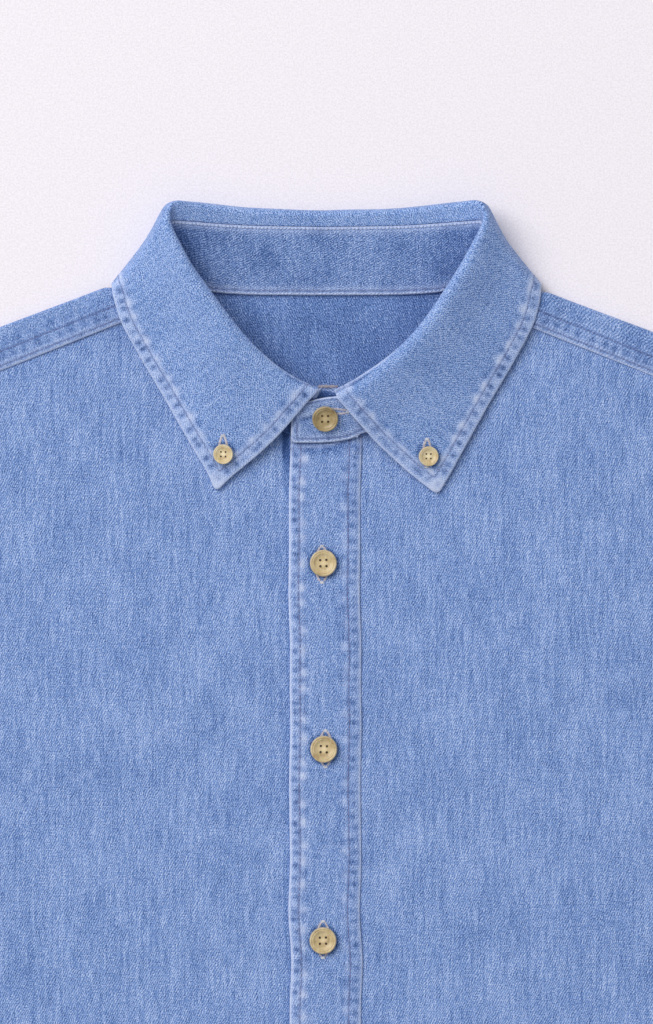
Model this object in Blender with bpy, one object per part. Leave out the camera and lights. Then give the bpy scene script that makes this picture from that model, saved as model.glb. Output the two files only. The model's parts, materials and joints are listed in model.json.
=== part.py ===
"""Denim button-down shirt, buttoned up and laid flat on its back.

Every cut piece is its own cloth wall. Sizes are in millimetres and meshes in metres. In the sizes, x is
zero at the centre front and runs to the wearer's left, y is zero level with the collar's side corners and runs
from the hem up to the collar, and z is the height above the surface that the shirt lies on.
"""

import math
from bisect import bisect_right
from collections import namedtuple

import bmesh
import bpy
from mathutils import Vector

MM = 0.001

# Cloth
WALL = 1.2  # one layer of denim
BAND = 1.6  # layers sewn together: collar, stand, placket and cuffs
SEAM = 0.3  # gap where pieces meet
LAID = 0.4  # gap under a piece that lies on a panel
STEP = WALL + SEAM  # from the middle of one layer to the middle of the next
COLLAR_STEP = BAND + SEAM  # what the collar folded under the neck lifts the yoke by
CLIMB_FROM_Y, CLIMB_TO_Y = -30.0, -12.0  # where the layers climb onto it
COLLAR_UNDER_X, COLLAR_UNDER_FADE = 110.0, 14.0  # where the collar under the yoke ends to each side
NECK_AIR = 0.5  # air between the layers near the neck
NECK_AIR_FROM_Y, NECK_AIR_TO_X, NECK_AIR_FADE = -75.0, 128.0, 30.0

# Body, as half widths and heights down from the neck
UNDERARM = (280.0, -270.0)
SHOULDER = (222.5, -43.95)
HEM_SIDE_Y = -690.0
HEM_SIDE_X = 275.0
FRONT_HEM_Y = -760.0
BACK_HEM_Y = -775.0
TAIL_START = 0.3  # share of the half width where the hem starts to rise to the side
BACK_YOKE_Y = -90.0
FOLD_SLOPE = -0.374  # the shoulder line's fall for each millimetre outwards
FOLD_X = 105.0  # where the shoulder line crosses y = 0
NECK_X = 78.0  # where the shoulder line meets the collar
FRONT_SEAM_X, FRONT_SEAM_Y = 103.2, -19.7  # a point on the front yoke seam
FRONT_SEAM_SLOPE = -0.397
SEAM_TUCK = 6.0  # how far the front runs under the yoke
FRONT_NECK_Y = -76.2
NECK_TUCK = 1.5  # how far the front runs under the stand, along x and y
FOLD_RETREAT = 2.2  # the shoulder line keeps this far back where the collar wraps round it
RETREAT_FADE = 8.0
LOFT = 1.5  # air under the front over the chest
LOFT_TOP_Y = -100.0
LOFT_TOP_FADE = 90.0
EDGE_FADE = 60.0  # over which the front comes down to its sides and hem
WAIST_POWER, ARMHOLE_POWER = 8, 4  # how closely the side seam's and the armhole's curve keep to the edge

# y, half width
SIDE_SEAM = ((-690.0, 275.0), (-480.0, 268.0), (-270.0, 280.0))
ARMHOLE = (
    (-270.0, 280.0), (-245.0, 264.5), (-210.0, 246.0), (-170.0, 232.5),
    (-130.0, 226.0), (-90.0, 223.5), (-43.95, 222.5),
)
YOKE_ROWS = (BACK_YOKE_Y, -60.0, CLIMB_FROM_Y, CLIMB_TO_Y)
YOKE_REACH = 0.9  # the share of the way to the shoulder line that these rows may take
YOKE_MIDDLE_XS = (22.0, 42.0, 57.0, 67.0)  # columns under the stand
YOKE_SIDE_SHARES = (0, 0.09, 0.17, 0.24, 0.32, 0.5, 0.75, 1)  # columns from the neck to the armhole
YOKE_TURNS = (-90, -30, 30, 90)  # degrees round the shoulder line
YOKE_FRONT_SHARES = (0.3, 0.65, 1)  # rows of the strip in front of the shoulder line
FRONT_YOKE_SHARES = (0.05, 0.28, 0.52, 0.76)  # the front's columns under that strip
BACK_SHARES = (0, 0.25, 0.5, 0.75, 1)  # the back's columns along the back yoke seam
# The yoke's neckline at the back, just under the stand: x, y
BACK_NECK = ((0.0, -0.6), (30.0, -0.4), (56.0, 1.0), (66.0, 3.6))
ARMHOLE_SHARES = (0.0, 0.067, 0.187, 0.32, 0.46, 0.6, 0.73, 0.84, 0.93, 1.0)
YOKE_END = 2  # where the back yoke seam meets the armhole, in ARMHOLE_SHARES

# Placket
PLACKET_LEFT, PLACKET_RIGHT = -18.2, 17.5
PLACKET_TOP_Y = -78.2
PLACKET_XS = (PLACKET_LEFT, -9.0, 0.0, 9.0, PLACKET_RIGHT)
FRONT_JOIN_X = 11.2  # the left front starts here, under the placket, and the right front ends here
# Rows of a body panel as shares of its length, closer at the top
ROW_SHARES = (0, 0.012, 0.025, 0.045, 0.08, 0.13, 0.19, *(0.19 + 0.081 * i for i in range(1, 11)))

# Sleeves
CUFF_OUTER = (605.0, -521.0)
CUFF_INNER = (506.0, -598.0)
CUFF_LENGTH = 65.0
SLEEVE_RINGS = 13
SLEEVE_RISE = 1.9  # from the middle of the lower layer to the middle of the upper one at a fold
SLEEVE_LOFT = 1.2
SLEEVE_EDGE = 0.008  # share of the width that the fold at each side takes
SLEEVE_SIDE_FADE, SLEEVE_END_FADE = 0.25, 0.12  # shares of the width and length where the loft comes down
ARMHOLE_GAP = 0.6
CUFF_RISE = 2.1
CUFF_LAP = 20.0  # overlap of the cuff's ends
CUFF_END = 0.42  # share of the cuff's width where its upper end lies
CUFF_FOLD = 0.02  # share of the width that the fold at each side takes
CUFF_LAP_SLOPE = 0.08  # share of the width over which the upper end climbs onto the lower one
CUFF_CLIMB = 0.6
SLEEVE_PLACKET = (24.0, 120.0)  # width and length
SLEEVE_PLACKET_POINT = 10.0
SLEEVE_PLACKET_TAPER = 0.12
SLEEVE_PLACKET_SHIFT = 0.1  # from the cuff's upper end, as a share of the width
SLEEVE_PLACKET_ROWS = (0.004, 0.2, 0.4, 0.6, 0.8, 1)

# Buttons: radius, thickness
BUTTON = (6.6, 3.0)
STAND_BUTTON = (6.4, 3.0)
COLLAR_BUTTON = (4.9, 2.6)
BUTTON_X = -1.0
FIRST_BUTTON_Y = -137.5
BUTTON_PITCH = 94.5
BUTTON_COUNT = 6
STAND_BUTTON_XY = (-0.7, -66.0)
STAND_BUTTON_LIFT = 0.2
COLLAR_BUTTON_XY = (51.7, -83.7)
COLLAR_BUTTON_LIFT = 0.3
# Shares of the radius and of the thickness, from the sunk middle over the rim to the underside
BUTTON_PROFILE = ((0.0, 0.58), (0.46, 0.58), (0.74, 1.0), (0.95, 0.88), (1.0, 0.5), (0.72, 0.0), (0.0, 0.0))
BUTTON_SIDES = 18
HOLE_SIDES = 6
HOLE_SPACING = 0.22  # of the radius, from the centre along x and y
HOLE_RADIUS = 0.09  # of the radius

DENIM = (0.21, 0.33, 0.60)
DENIM_PALE = (0.25, 0.38, 0.66)
HORN = (0.60, 0.45, 0.24)

Section = namedtuple("Section", "neck seam crest roll mid edge")

# The collar from the centre back to the front end of the leaf. The stand runs from neck to seam, and the leaf
# from the seam over its roll to its edge.
COLLAR = (
    Section(
        (0, -3.4, 4.3), (0, 30.5, 8.6), (0, 38.0, 9.4),
        (0, 41.0, 5.6), (0, 28, 0.9), (0, -9, 0.8),
    ),
    Section(
        (30, -3.3, 4.3), (34, 31.2, 9.4), (35, 38.8, 10.4),
        (36, 41.8, 6.2), (40, 28, 0.9), (50, -9, 0.8),
    ),
    Section(
        (56, -2, 4.8), (61, 33.4, 13), (63, 41.4, 14.4),
        (66, 44.2, 9), (72, 28, 1.3), (86, -7, 0.8),
    ),
    Section(
        (66, 1, 5.8), (69, 35.2, 15.6), (71.5, 43.2, 17.4),
        (75, 44.6, 12), (84, 26, 3), (102.6, 0.8, 0.8),
    ),
    Section(
        (72, 4.6, 7), (73.4, 35.6, 17.6), (75.6, 42, 20),
        (80, 42, 16.4), (92, 22.4, 8.4), (107.4, 1.6, 3.9),
    ),
    Section(
        (78, 8, 8.4), (75.6, 31, 18.8), (75.8, 34.4, 22.8),
        (79.4, 34, 25), (91.6, 16, 16.4), (107.2, -4, 8.2),
    ),
    Section(
        (77.4, -10, 8.2), (69, 11.6, 19), (67.4, 15.4, 23.6),
        (71, 13, 26.2), (87.6, 1, 16.2), (104.8, -15, 8),
    ),
    Section(
        (73, -22, 6.4), (59.4, -5.2, 18), (56.8, -2, 22.4),
        (60.4, -5, 25), (76.6, -18.6, 15), (95.2, -34.6, 6.2),
    ),
    Section(
        (63, -38, 5.2), (45.8, -24.6, 16.4), (42.6, -22, 20.6),
        (46, -25.4, 23), (63.4, -40.6, 13.6), (83.8, -54, 5.7),
    ),
    Section(
        (47, -56, 5.1), (30.6, -39.8, 14.6), (27.8, -37, 18.4),
        (31, -40.4, 20.6), (49.4, -56.6, 12.6), (73.6, -72, 5.6),
    ),
    Section(
        (27, -69.4, 5.1), (14, -51.6, 12.9), (11.5, -48.4, 16.4),
        (14.4, -51.9, 18.2), (34.8, -68.4, 11.4), (63.8, -89, 5.5),
    ),
    Section(
        (12, -75.4, 5.1), (5.4, -54.4, 12.2), (4.3, -52, 15.2),
        (6.5, -54.4, 16.6), (27, -73.7, 10.6), (56.4, -101.4, 5.4),
    ),
)
CORNER = 5  # the section at the side corner, where the shoulder line meets the collar
STATIONS_TO_CORNER = (0.5, 1, 1.5, 2, 2.35, 2.7, 3, 3.3, 3.6, 3.9, 4.2, 4.5, 4.8, 5.2, 5.6)
STATION_STEP = 0.5  # in front of the corner
LAP_FROM, LAP_FULL = 8, 10  # sections between which the two sides move apart to overlap at the front
LAP = 1.1  # half the height between the stand's two ends
LEAF_GAP, STAND_GAP = 0.07, 0.012  # what the leaf and the stand leave at their seam, as shares of a step
LEAF_ROWS = (1 + LEAF_GAP, 1.5, 2, 2.35, 2.7, 3, 3.3, 3.65, 4, 4.35, 4.7, 5)
STAND_ROWS = (0, 0.25, 0.5, 0.75, 1 - STAND_GAP)
# Where the collar's buttons may sit: the first station and across, and the step and counts of the search
TIP_FROM, TIP_STEP, TIP_COUNTS = (7, 3.5), 0.02, (201, 76)

# The stand's end past the leaf: neck and top edge
StandEnd = namedtuple("StandEnd", "neck seam")
STAND_END = (
    StandEnd((3, -76.9, 5.1), (1.5, -54.6, 11.8)),
    StandEnd((-6, -77.3, 5.1), (-5.6, -55.8, 11.4)),
    StandEnd((-12.6, -77.3, 5.1), (-12, -57.6, 10.7)),
    StandEnd((-16.4, -77.2, 5.1), (-16, -62.0, 9.5)),
    StandEnd((-17.6, -76.6, 5.3), (-17.5, -67.6, 7.9)),
)

# Soft folds: middle, turn from +x in degrees, half length, half width and height
Fold = namedtuple("Fold", "x y turn length width height")
FOLDS = (
    Fold(228, -318, 62, 60, 13, 1.4), Fold(-231, -330, 118, 74, 15, 1.3), Fold(196, -402, 74, 82, 17, 0.9),
    Fold(-204, -440, 101, 70, 14, 1.1), Fold(120, -610, 84, 88, 20, 0.8), Fold(-92, -640, 97, 72, 17, 0.9),
    Fold(330, -236, -20, 46, 12, 1.6), Fold(352, -262, -32, 40, 9, 1.2), Fold(-322, -228, -158, 52, 13, 1.5),
    Fold(430, -372, -8, 36, 10, 1.9), Fold(452, -392, 4, 31, 8, 1.4), Fold(-424, -364, -175, 42, 11, 1.8),
    Fold(-447, -398, 172, 30, 9, 1.5), Fold(528, -512, -52, 44, 9, 1.1), Fold(-540, -500, -122, 40, 10, 1.2),
)


def smooth(u):
    """0 below 0, 1 above 1, and an even ramp between."""
    u = min(max(u, 0.0), 1.0)
    return u * u * (3 - 2 * u)


def between(a, b, share):
    return tuple(p + (q - p) * share for p, q in zip(a, b))


def ease(knots, values, at):
    """A smooth curve through values at rising knots, with no swing past any of them."""
    at = min(max(at, knots[0]), knots[-1])
    rises = [(values[i + 1] - values[i]) / (knots[i + 1] - knots[i]) for i in range(len(knots) - 1)]
    inner = [0.0 if p * q <= 0 else 2 * p * q / (p + q) for p, q in zip(rises, rises[1:])]
    slopes = [rises[0], *inner, rises[-1]]
    i = min(bisect_right(knots, at) - 1, len(knots) - 2)
    span = knots[i + 1] - knots[i]
    u = (at - knots[i]) / span
    start = (1 + 2 * u) * (1 - u) ** 2 * values[i] + u * (1 - u) ** 2 * span * slopes[i]
    end = u * u * (3 - 2 * u) * values[i + 1] + u * u * (u - 1) * span * slopes[i + 1]
    return start + end


def ease_rows(rows, at):
    """ease() on each number of equally long rows, whose knots are 0, 1, 2 and so on."""
    knots = range(len(rows))
    return tuple(ease(knots, [row[i] for row in rows], at) for i in range(len(rows[0])))


def armhole_x(y):
    return ease([row[0] for row in ARMHOLE], [row[1] for row in ARMHOLE], y)


def armhole_point(share):
    """A point of the armhole, from the shoulder at share 0 to the underarm at 1."""
    y = SHOULDER[1] + (UNDERARM[1] - SHOULDER[1]) * share
    return armhole_x(y), y


def half_width(y):
    if y > UNDERARM[1]:
        return armhole_x(y)
    return ease([row[0] for row in SIDE_SEAM], [row[1] for row in SIDE_SEAM], y)


def waist(y):
    """How far the side seam bends in from a straight line."""
    down = (UNDERARM[1] - y) / (UNDERARM[1] - HEM_SIDE_Y)
    return half_width(y) - UNDERARM[0] - (HEM_SIDE_X - UNDERARM[0]) * down


def hem_y(x, centre_y):
    """The shirt-tail hem: level in the middle and rising to the side seams."""
    rise = smooth((abs(x) / HEM_SIDE_X - TAIL_START) / (1 - TAIL_START))
    return centre_y + (HEM_SIDE_Y - centre_y) * rise


def fold_y(x):
    """The shoulder line, set back where the collar covers it."""
    back = FOLD_RETREAT * (1 - smooth((abs(x) - FOLD_X + 1) / RETREAT_FADE))
    return FOLD_SLOPE * (abs(x) - FOLD_X) - back


def front_seam_y(x):
    return FRONT_SEAM_Y + FRONT_SEAM_SLOPE * (abs(x) - FRONT_SEAM_X)


def fold_height(x, y):
    """What the soft folds add to the upper layer's height."""
    total = 0.0
    for fold in FOLDS:
        turn = math.radians(fold.turn)
        along = (x - fold.x) * math.cos(turn) + (y - fold.y) * math.sin(turn)
        across = (y - fold.y) * math.cos(turn) - (x - fold.x) * math.sin(turn)
        total += fold.height * math.exp(-((along / fold.length) ** 2) - (across / fold.width) ** 2)
    return total


def under_level(x, y):
    """Middle of the lowest body layer, which climbs over the collar folded under the neck."""
    climb = min(max((y - CLIMB_FROM_Y) / (CLIMB_TO_Y - CLIMB_FROM_Y), 0), 1)
    return WALL / 2 + COLLAR_STEP * climb * (1 - smooth((abs(x) - COLLAR_UNDER_X) / COLLAR_UNDER_FADE))


def neck_air(x, y):
    """Air between the layers near the neck, where the collar under them keeps them apart."""
    upward = smooth((y - NECK_AIR_FROM_Y) / NECK_AIR_FADE)
    return NECK_AIR * upward * (1 - smooth((abs(x) - NECK_AIR_TO_X) / NECK_AIR_FADE))


def front_level(x, y):
    """Middle of the front, with air under it away from its edges."""
    from_side = smooth((half_width(y) - abs(x)) / EDGE_FADE)
    from_hem = smooth((y - hem_y(x, FRONT_HEM_Y)) / EDGE_FADE)
    from_top = smooth((LOFT_TOP_Y - y) / LOFT_TOP_FADE)
    air = from_side * from_hem * (from_top * LOFT + fold_height(x, y))
    return under_level(x, y) + STEP + neck_air(x, y) + air


def yoke_level(x, y):
    """Middle of the yoke's front strip, which lies on the front's top edge."""
    return under_level(x, y) + 2 * (STEP + neck_air(x, y))


def clear_scene():
    for thing in list(bpy.data.objects):
        bpy.data.objects.remove(thing)


def finish(name, colour, roughness):
    """The piece's own material."""
    material = bpy.data.materials.new(name)
    material.use_nodes = True
    shader = material.node_tree.nodes["Principled BSDF"]
    shader.inputs["Base Color"].default_value = (*colour, 1)
    shader.inputs["Roughness"].default_value = roughness
    shader.inputs["Metallic"].default_value = 0.0
    return material


def place(name, mesh, origin, colour, roughness=0.9):
    """An object for a finished mesh, under the shirt's origin and with its own material."""
    mesh.materials.clear()
    mesh.materials.append(finish(name, colour, roughness))
    piece = bpy.data.objects.new(name, mesh)
    piece.parent = origin
    bpy.context.scene.collection.objects.link(piece)
    return piece


def cloth(name, columns, thickness, origin, colour=DENIM, ring=False):
    """A cloth wall through columns of middle points. Columns of unequal length join as far as the shorter one
    goes, and with ring set each column's last point joins its first."""
    shape = bmesh.new()
    grid = [[shape.verts.new(Vector(point) * MM) for point in column] for column in columns]
    for here, there in zip(grid, grid[1:]):
        shared = min(len(here), len(there))
        for j in range(shared if ring else shared - 1):
            k = (j + 1) % shared
            shape.faces.new((here[j], there[j], there[k], here[k]))
    for face in shape.faces:
        face.smooth = True
    mesh = bpy.data.meshes.new(name)
    shape.to_mesh(mesh)
    shape.free()
    piece = place(name, mesh, origin, colour)
    wall = piece.modifiers.new("wall", "SOLIDIFY")
    wall.thickness = thickness * MM
    wall.offset = 0.0
    return piece


def mirrored(columns):
    return [[(-x, y, z) for x, y, z in column] for column in columns]


# Body panels


def panel(tops, hem_from, centre_y, level, row_shares=ROW_SHARES):
    """Columns from a row of top points down to the hem. The last one is the side seam."""
    lengths = [0.0]
    for a, b in zip(tops, tops[1:]):
        lengths.append(lengths[-1] + math.dist(a, b))
    columns = []
    for top, length in zip(tops, lengths):
        share = length / lengths[-1]
        foot_x = hem_from + (HEM_SIDE_X - hem_from) * share
        foot = (foot_x, hem_y(foot_x, centre_y))
        column = []
        for row in row_shares:
            x, y = between(top, foot, row)
            if y < UNDERARM[1]:
                x += waist(y) * share**WAIST_POWER
            column.append((x, y, level(x, y)))
        columns.append(column)
    return columns


def front_tops(start_x):
    """The front's top edge: neckline, then under the yoke, then the armhole."""
    tops = [(start_x, FRONT_NECK_Y)]
    for x, y, _ in (section.neck for section in COLLAR[:CORNER:-1]):
        if x > start_x + 2 * NECK_TUCK:
            tops.append((x - NECK_TUCK, y + NECK_TUCK))
    for share in FRONT_YOKE_SHARES:
        x = NECK_X + (armhole_x(front_seam_y(SHOULDER[0])) - NECK_X) * share
        tops.append((x, front_seam_y(x) + SEAM_TUCK))
    return tops + [armhole_point(share) for share in ARMHOLE_SHARES[1:]]


def build_fronts(origin):
    left = panel(front_tops(FRONT_JOIN_X), FRONT_JOIN_X, FRONT_HEM_Y, front_level)
    cloth("front_left", left, WALL, origin)
    tops = [(SEAM - FRONT_JOIN_X, FRONT_NECK_Y), (0.0, FRONT_NECK_Y), *front_tops(FRONT_JOIN_X)]
    right = panel(tops, -FRONT_JOIN_X + SEAM, FRONT_HEM_Y, lambda x, y: front_level(-x, y))
    cloth("front_right", mirrored(right), WALL, origin)


def build_back(origin):
    level = BACK_YOKE_Y - SEAM
    half = [(armhole_x(level) * share, level) for share in BACK_SHARES]
    half += [armhole_point(share) for share in ARMHOLE_SHARES[YOKE_END + 1:]]
    right = panel(half, 0.0, BACK_HEM_Y, under_level, ROW_SHARES[::2])
    cloth("back", mirrored(right)[:0:-1] + right, WALL, origin)


def build_placket(origin):
    rise = WALL / 2 + LAID + BAND / 2
    columns = []
    for x in PLACKET_XS:
        ys = [PLACKET_TOP_Y + (FRONT_HEM_Y - PLACKET_TOP_Y) * row for row in ROW_SHARES]
        columns.append([(x, y, front_level(x, y) + rise) for y in ys])
    cloth("placket", columns, BAND, origin, DENIM_PALE)


def back_neck_y(x):
    """The yoke's neckline at the back, just under the stand."""
    rows = (*BACK_NECK, (NECK_X, fold_y(NECK_X)))
    return ease([row[0] for row in rows], [row[1] for row in rows], abs(x))


def yoke_middle_column(x):
    """From the back yoke seam up to the neckline."""
    return [(x, y, under_level(x, y)) for y in (*YOKE_ROWS, back_neck_y(x))]


def yoke_side_column(share):
    """From the back yoke seam to the shoulder line, round it and down to the front yoke seam."""
    fold_x = NECK_X + (SHOULDER[0] - NECK_X) * share
    fold = (fold_x, fold_y(fold_x) - WALL / 2)
    back_x = NECK_X + (armhole_x(BACK_YOKE_Y) - NECK_X) * share
    seam_end = front_seam_y(SHOULDER[0])
    seam_x = NECK_X + (armhole_x(seam_end) - NECK_X) * share
    back = (back_x, BACK_YOKE_Y)
    front = (seam_x, front_seam_y(seam_x))
    column = []
    height = fold[1] - BACK_YOKE_Y
    reach = min(1, YOKE_REACH * height / (CLIMB_TO_Y - BACK_YOKE_Y))
    for row in YOKE_ROWS:
        part = (row - BACK_YOKE_Y) * reach / height
        x, y = between(back, fold, part)
        x += (armhole_x(y) - armhole_x(BACK_YOKE_Y) * (1 - part) - SHOULDER[0] * part) * share**ARMHOLE_POWER
        column.append((x, y, under_level(x, y)))
    low = under_level(*fold)
    radius = (yoke_level(*fold) - low) / 2
    for turn in YOKE_TURNS:
        out = radius * (math.cos(math.radians(turn)) - 1)
        column.append((fold[0], fold[1] + out, low + radius * (1 + math.sin(math.radians(turn)))))
    for part in YOKE_FRONT_SHARES:
        x, y = between(fold, front, part)
        x += (armhole_x(y) - SHOULDER[0] * (1 - part) - armhole_x(seam_end) * part) * share**ARMHOLE_POWER
        column.append((x, y, yoke_level(x, y)))
    return column


def build_yoke(origin):
    side = [yoke_side_column(share) for share in YOKE_SIDE_SHARES]
    middle = [yoke_middle_column(x) for x in YOKE_MIDDLE_XS]
    half = middle + side
    cloth("yoke", mirrored(half)[::-1] + [yoke_middle_column(0)] + half, WALL, origin)


# Collar


def collar_point(station, across):
    """A point of the collar's middle surface. station runs from the right front end, through 0 at the centre
    back, to the left one; across is 0 at the neck, 1 at the seam, 2 crest, 3 roll, 4 middle and 5 edge."""
    at = abs(station)
    points = [ease_rows([section[i] for section in COLLAR], at) for i in range(6)]
    x, y, z = ease_rows(points, across)
    lap = LAP * smooth((at - LAP_FROM) / (LAP_FULL - LAP_FROM)) * (1 - smooth((across - 3) / 2))
    side = 1 if station >= 0 else -1
    return x * side, y, z + lap * side


def stations():
    """Steps along the collar, closer towards the side corners."""
    steps = round((len(COLLAR) - 2 - CORNER) / STATION_STEP)
    half = [*STATIONS_TO_CORNER, *(CORNER + 1 + STATION_STEP * i for i in range(steps + 1))]
    return [-s for s in reversed(half)] + [0] + half


def build_leaf(origin):
    columns = [[collar_point(station, across) for across in LEAF_ROWS] for station in stations()]
    cloth("collar_fall", columns, BAND, origin, DENIM_PALE)


def stand_end_columns(side):
    """The end of the stand past the leaf. The left one, side 1, lies over the right one."""
    columns = []
    for end in STAND_END:
        column = [between(end.neck, end.seam, share) for share in STAND_ROWS]
        columns.append([(x * side, y, z + LAP * side) for x, y, z in column])
    return columns


def build_stand(origin):
    columns = [[collar_point(station, across) for across in STAND_ROWS] for station in stations()]
    right = stand_end_columns(-1)[::-1]
    cloth("collar_stand", right + columns + stand_end_columns(1), BAND, origin)


# Sleeves and cuffs


def sleeve_place(along, share):
    """Where the sleeve is, from the armhole at along 0 to the cuff at 1, and from its outer fold at share 0
    to the underarm seam at 1."""
    outer = between(SHOULDER, CUFF_OUTER, along)
    inner = between(UNDERARM, CUFF_INNER, along)
    x, y = between(outer, inner, share)
    chord = between(SHOULDER, UNDERARM, share)
    hollow = armhole_point(share)
    keep = (1 - along) ** 4
    return x + (hollow[0] - chord[0]) * keep, y + (hollow[1] - chord[1]) * keep


def sleeve_level(x, y, along, share):
    """Middle of the sleeve's upper layer."""
    from_edge = smooth(min(share, 1 - share) / SLEEVE_SIDE_FADE)
    from_end = smooth(min(along, 1 - along) / SLEEVE_END_FADE)
    air = from_edge * from_end * (SLEEVE_LOFT + fold_height(x, y))
    return WALL / 2 + SLEEVE_RISE + air


def sleeve_ring(along, side):
    """One ring round the flattened sleeve, over its upper layer and back under its lower one."""
    shares = (SLEEVE_EDGE, *ARMHOLE_SHARES[1:-1], 1 - SLEEVE_EDGE)
    places = [(sleeve_place(along, share), share) for share in shares]
    low, rise = WALL / 2, SLEEVE_RISE / 2
    upper = [(x, y, sleeve_level(x * side, y, along, share)) for (x, y), share in places]
    lower = [(x, y, low) for (x, y), _ in reversed(places)]
    outer = (*sleeve_place(along, 0), low + rise)
    inner = (*sleeve_place(along, 1), low + rise)
    ring = [outer, *upper, inner, *lower]
    return [((x + ARMHOLE_GAP) * side, y, z) for x, y, z in ring]


def cuff_place(share, down):
    """A point of the cuff's plane: share across it from the outer fold, down in millimetres from its seam."""
    run = Vector(CUFF_OUTER) - Vector(SHOULDER)
    run.normalize()
    across = Vector(between(CUFF_OUTER, CUFF_INNER, share))
    point = across + run * down
    return point.x + ARMHOLE_GAP, point.y


def cuff_path():
    """The cuff's strip round the sleeve's end, from its lower end to the upper one that laps over it. Each
    row is the share across the cuff and the height of the strip's middle."""
    width = math.dist(CUFF_OUTER, CUFF_INNER)
    lap = CUFF_LAP / width
    low, high = BAND / 2, BAND / 2 + CUFF_RISE
    top = high + BAND + LAID
    middle = (low + high) / 2
    climb = CUFF_END + lap + CUFF_LAP_SLOPE
    under = [(CUFF_END + lap, high), (CUFF_END, high), (CUFF_END / 2, high), (CUFF_FOLD, high)]
    below = [(CUFF_FOLD, low), (1 / 3, low), (2 / 3, low), (1 - CUFF_FOLD, low)]
    over = [(1 - CUFF_FOLD, high), (climb, top - CUFF_CLIMB), (CUFF_END + lap, top), (CUFF_END, top)]
    return under + [(0, middle)] + below + [(1, middle)] + over


def cuff_columns(side):
    columns = []
    for share, z in cuff_path():
        column = []
        for down in (SEAM, CUFF_LENGTH / 2, CUFF_LENGTH):
            x, y = cuff_place(share, down)
            column.append((x * side, y, z))
        columns.append(column)
    return columns


def sleeve_placket_columns(side):
    """The strip over the slit above the cuff, with a pointed top."""
    width, length = SLEEVE_PLACKET
    cuff_width = math.dist(CUFF_OUTER, CUFF_INNER)
    sleeve_length = math.dist(SHOULDER, CUFF_OUTER)
    rise = WALL + 2 * LAID
    columns = []
    for step, point in ((-0.5, 0), (0, SLEEVE_PLACKET_POINT), (0.5, 0)):
        column = []
        for part in SLEEVE_PLACKET_ROWS:
            along = 1 - part * (length + point) / sleeve_length
            half_turn = step * width / cuff_width * (1 - SLEEVE_PLACKET_TAPER * part)
            share = CUFF_END + SLEEVE_PLACKET_SHIFT + half_turn
            x, y = sleeve_place(along, share)
            column.append(((x + ARMHOLE_GAP) * side, y, sleeve_level(x * side, y, along, share) + rise))
        columns.append(column)
    return columns


def build_sleeves(origin):
    for name, side in (("left", 1), ("right", -1)):
        rings = [sleeve_ring(i / SLEEVE_RINGS, side) for i in range(SLEEVE_RINGS + 1)]
        cloth(f"sleeve_{name}", rings, WALL, origin, ring=True)
        cloth(f"cuff_{name}", cuff_columns(side), BAND, origin, DENIM_PALE)
        cloth(f"sleeve_placket_{name}", sleeve_placket_columns(side), WALL, origin, DENIM_PALE)


# Buttons


def turned(profile, sides):
    """A mesh turned about z from (radius, height) rows that run from the top's centre to the bottom's."""
    shape = bmesh.new()
    verts = [shape.verts.new((radius, 0, height)) for radius, height in profile]
    edges = [shape.edges.new(pair) for pair in zip(verts, verts[1:])]
    bmesh.ops.spin(
        shape, geom=verts + edges, axis=(0, 0, 1), cent=(0, 0, 0), steps=sides,
        angle=2 * math.pi, use_duplicate=False,
    )
    bmesh.ops.remove_doubles(shape, verts=shape.verts, dist=1e-6)
    bmesh.ops.recalc_face_normals(shape, faces=shape.faces)
    return shape


def button_mesh(name, radius, thickness):
    """A sunk middle inside a raised rim."""
    profile = [(share * radius * MM, height * thickness * MM) for share, height in BUTTON_PROFILE]
    shape = turned(profile, BUTTON_SIDES)
    mesh = bpy.data.meshes.new(name)
    shape.to_mesh(mesh)
    shape.free()
    mesh.shade_smooth()
    return mesh


def hole_mesh(name, radius, thickness):
    """Four thread holes, as one cutter."""
    shape = bmesh.new()
    for x in (-HOLE_SPACING, HOLE_SPACING):
        for y in (-HOLE_SPACING, HOLE_SPACING):
            made = bmesh.ops.create_cone(
                shape, cap_ends=True, segments=HOLE_SIDES, radius1=HOLE_RADIUS * radius * MM,
                radius2=HOLE_RADIUS * radius * MM, depth=3 * thickness * MM,
            )
            bmesh.ops.translate(shape, verts=made["verts"], vec=(x * radius * MM, y * radius * MM, 0))
    mesh = bpy.data.meshes.new(name)
    shape.to_mesh(mesh)
    shape.free()
    return mesh


def add_button(name, size, point, normal, origin):
    """A button whose underside is centred on a point and square to a normal."""
    turn = Vector(normal).to_track_quat("Z", "Y")
    piece = place(name, button_mesh(name, *size), origin, HORN, 0.35)
    cutter = bpy.data.objects.new(name + ".holes", hole_mesh(name + ".holes", *size))
    cutter.hide_render = True
    cutter.display_type = "WIRE"
    bpy.context.scene.collection.objects.link(cutter)
    cutter.parent = origin
    for thing in (piece, cutter):
        thing.location = Vector(point) * MM
        thing.rotation_mode = "QUATERNION"
        thing.rotation_quaternion = turn
    holes = piece.modifiers.new("holes", "BOOLEAN")
    holes.object = cutter
    holes.operation = "DIFFERENCE"


def leaf_seat(x, y, side):
    """The collar leaf's middle surface and its upward normal at a place near its point."""
    first_station, first_row = TIP_FROM
    steps = ((i, j) for i in range(TIP_COUNTS[0]) for j in range(TIP_COUNTS[1]))
    spots = [(first_station + TIP_STEP * i, first_row + TIP_STEP * j) for i, j in steps]
    station, across = min(spots, key=lambda spot: math.dist(collar_point(*spot)[:2], (x, y)))
    here, onward, outward = (
        Vector(collar_point(side * s, a))
        for s, a in ((station, across), (station + TIP_STEP, across), (station, across + TIP_STEP))
    )
    normal = (onward - here).cross(outward - here).normalized()
    return here, normal if normal.z > 0 else -normal


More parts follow.
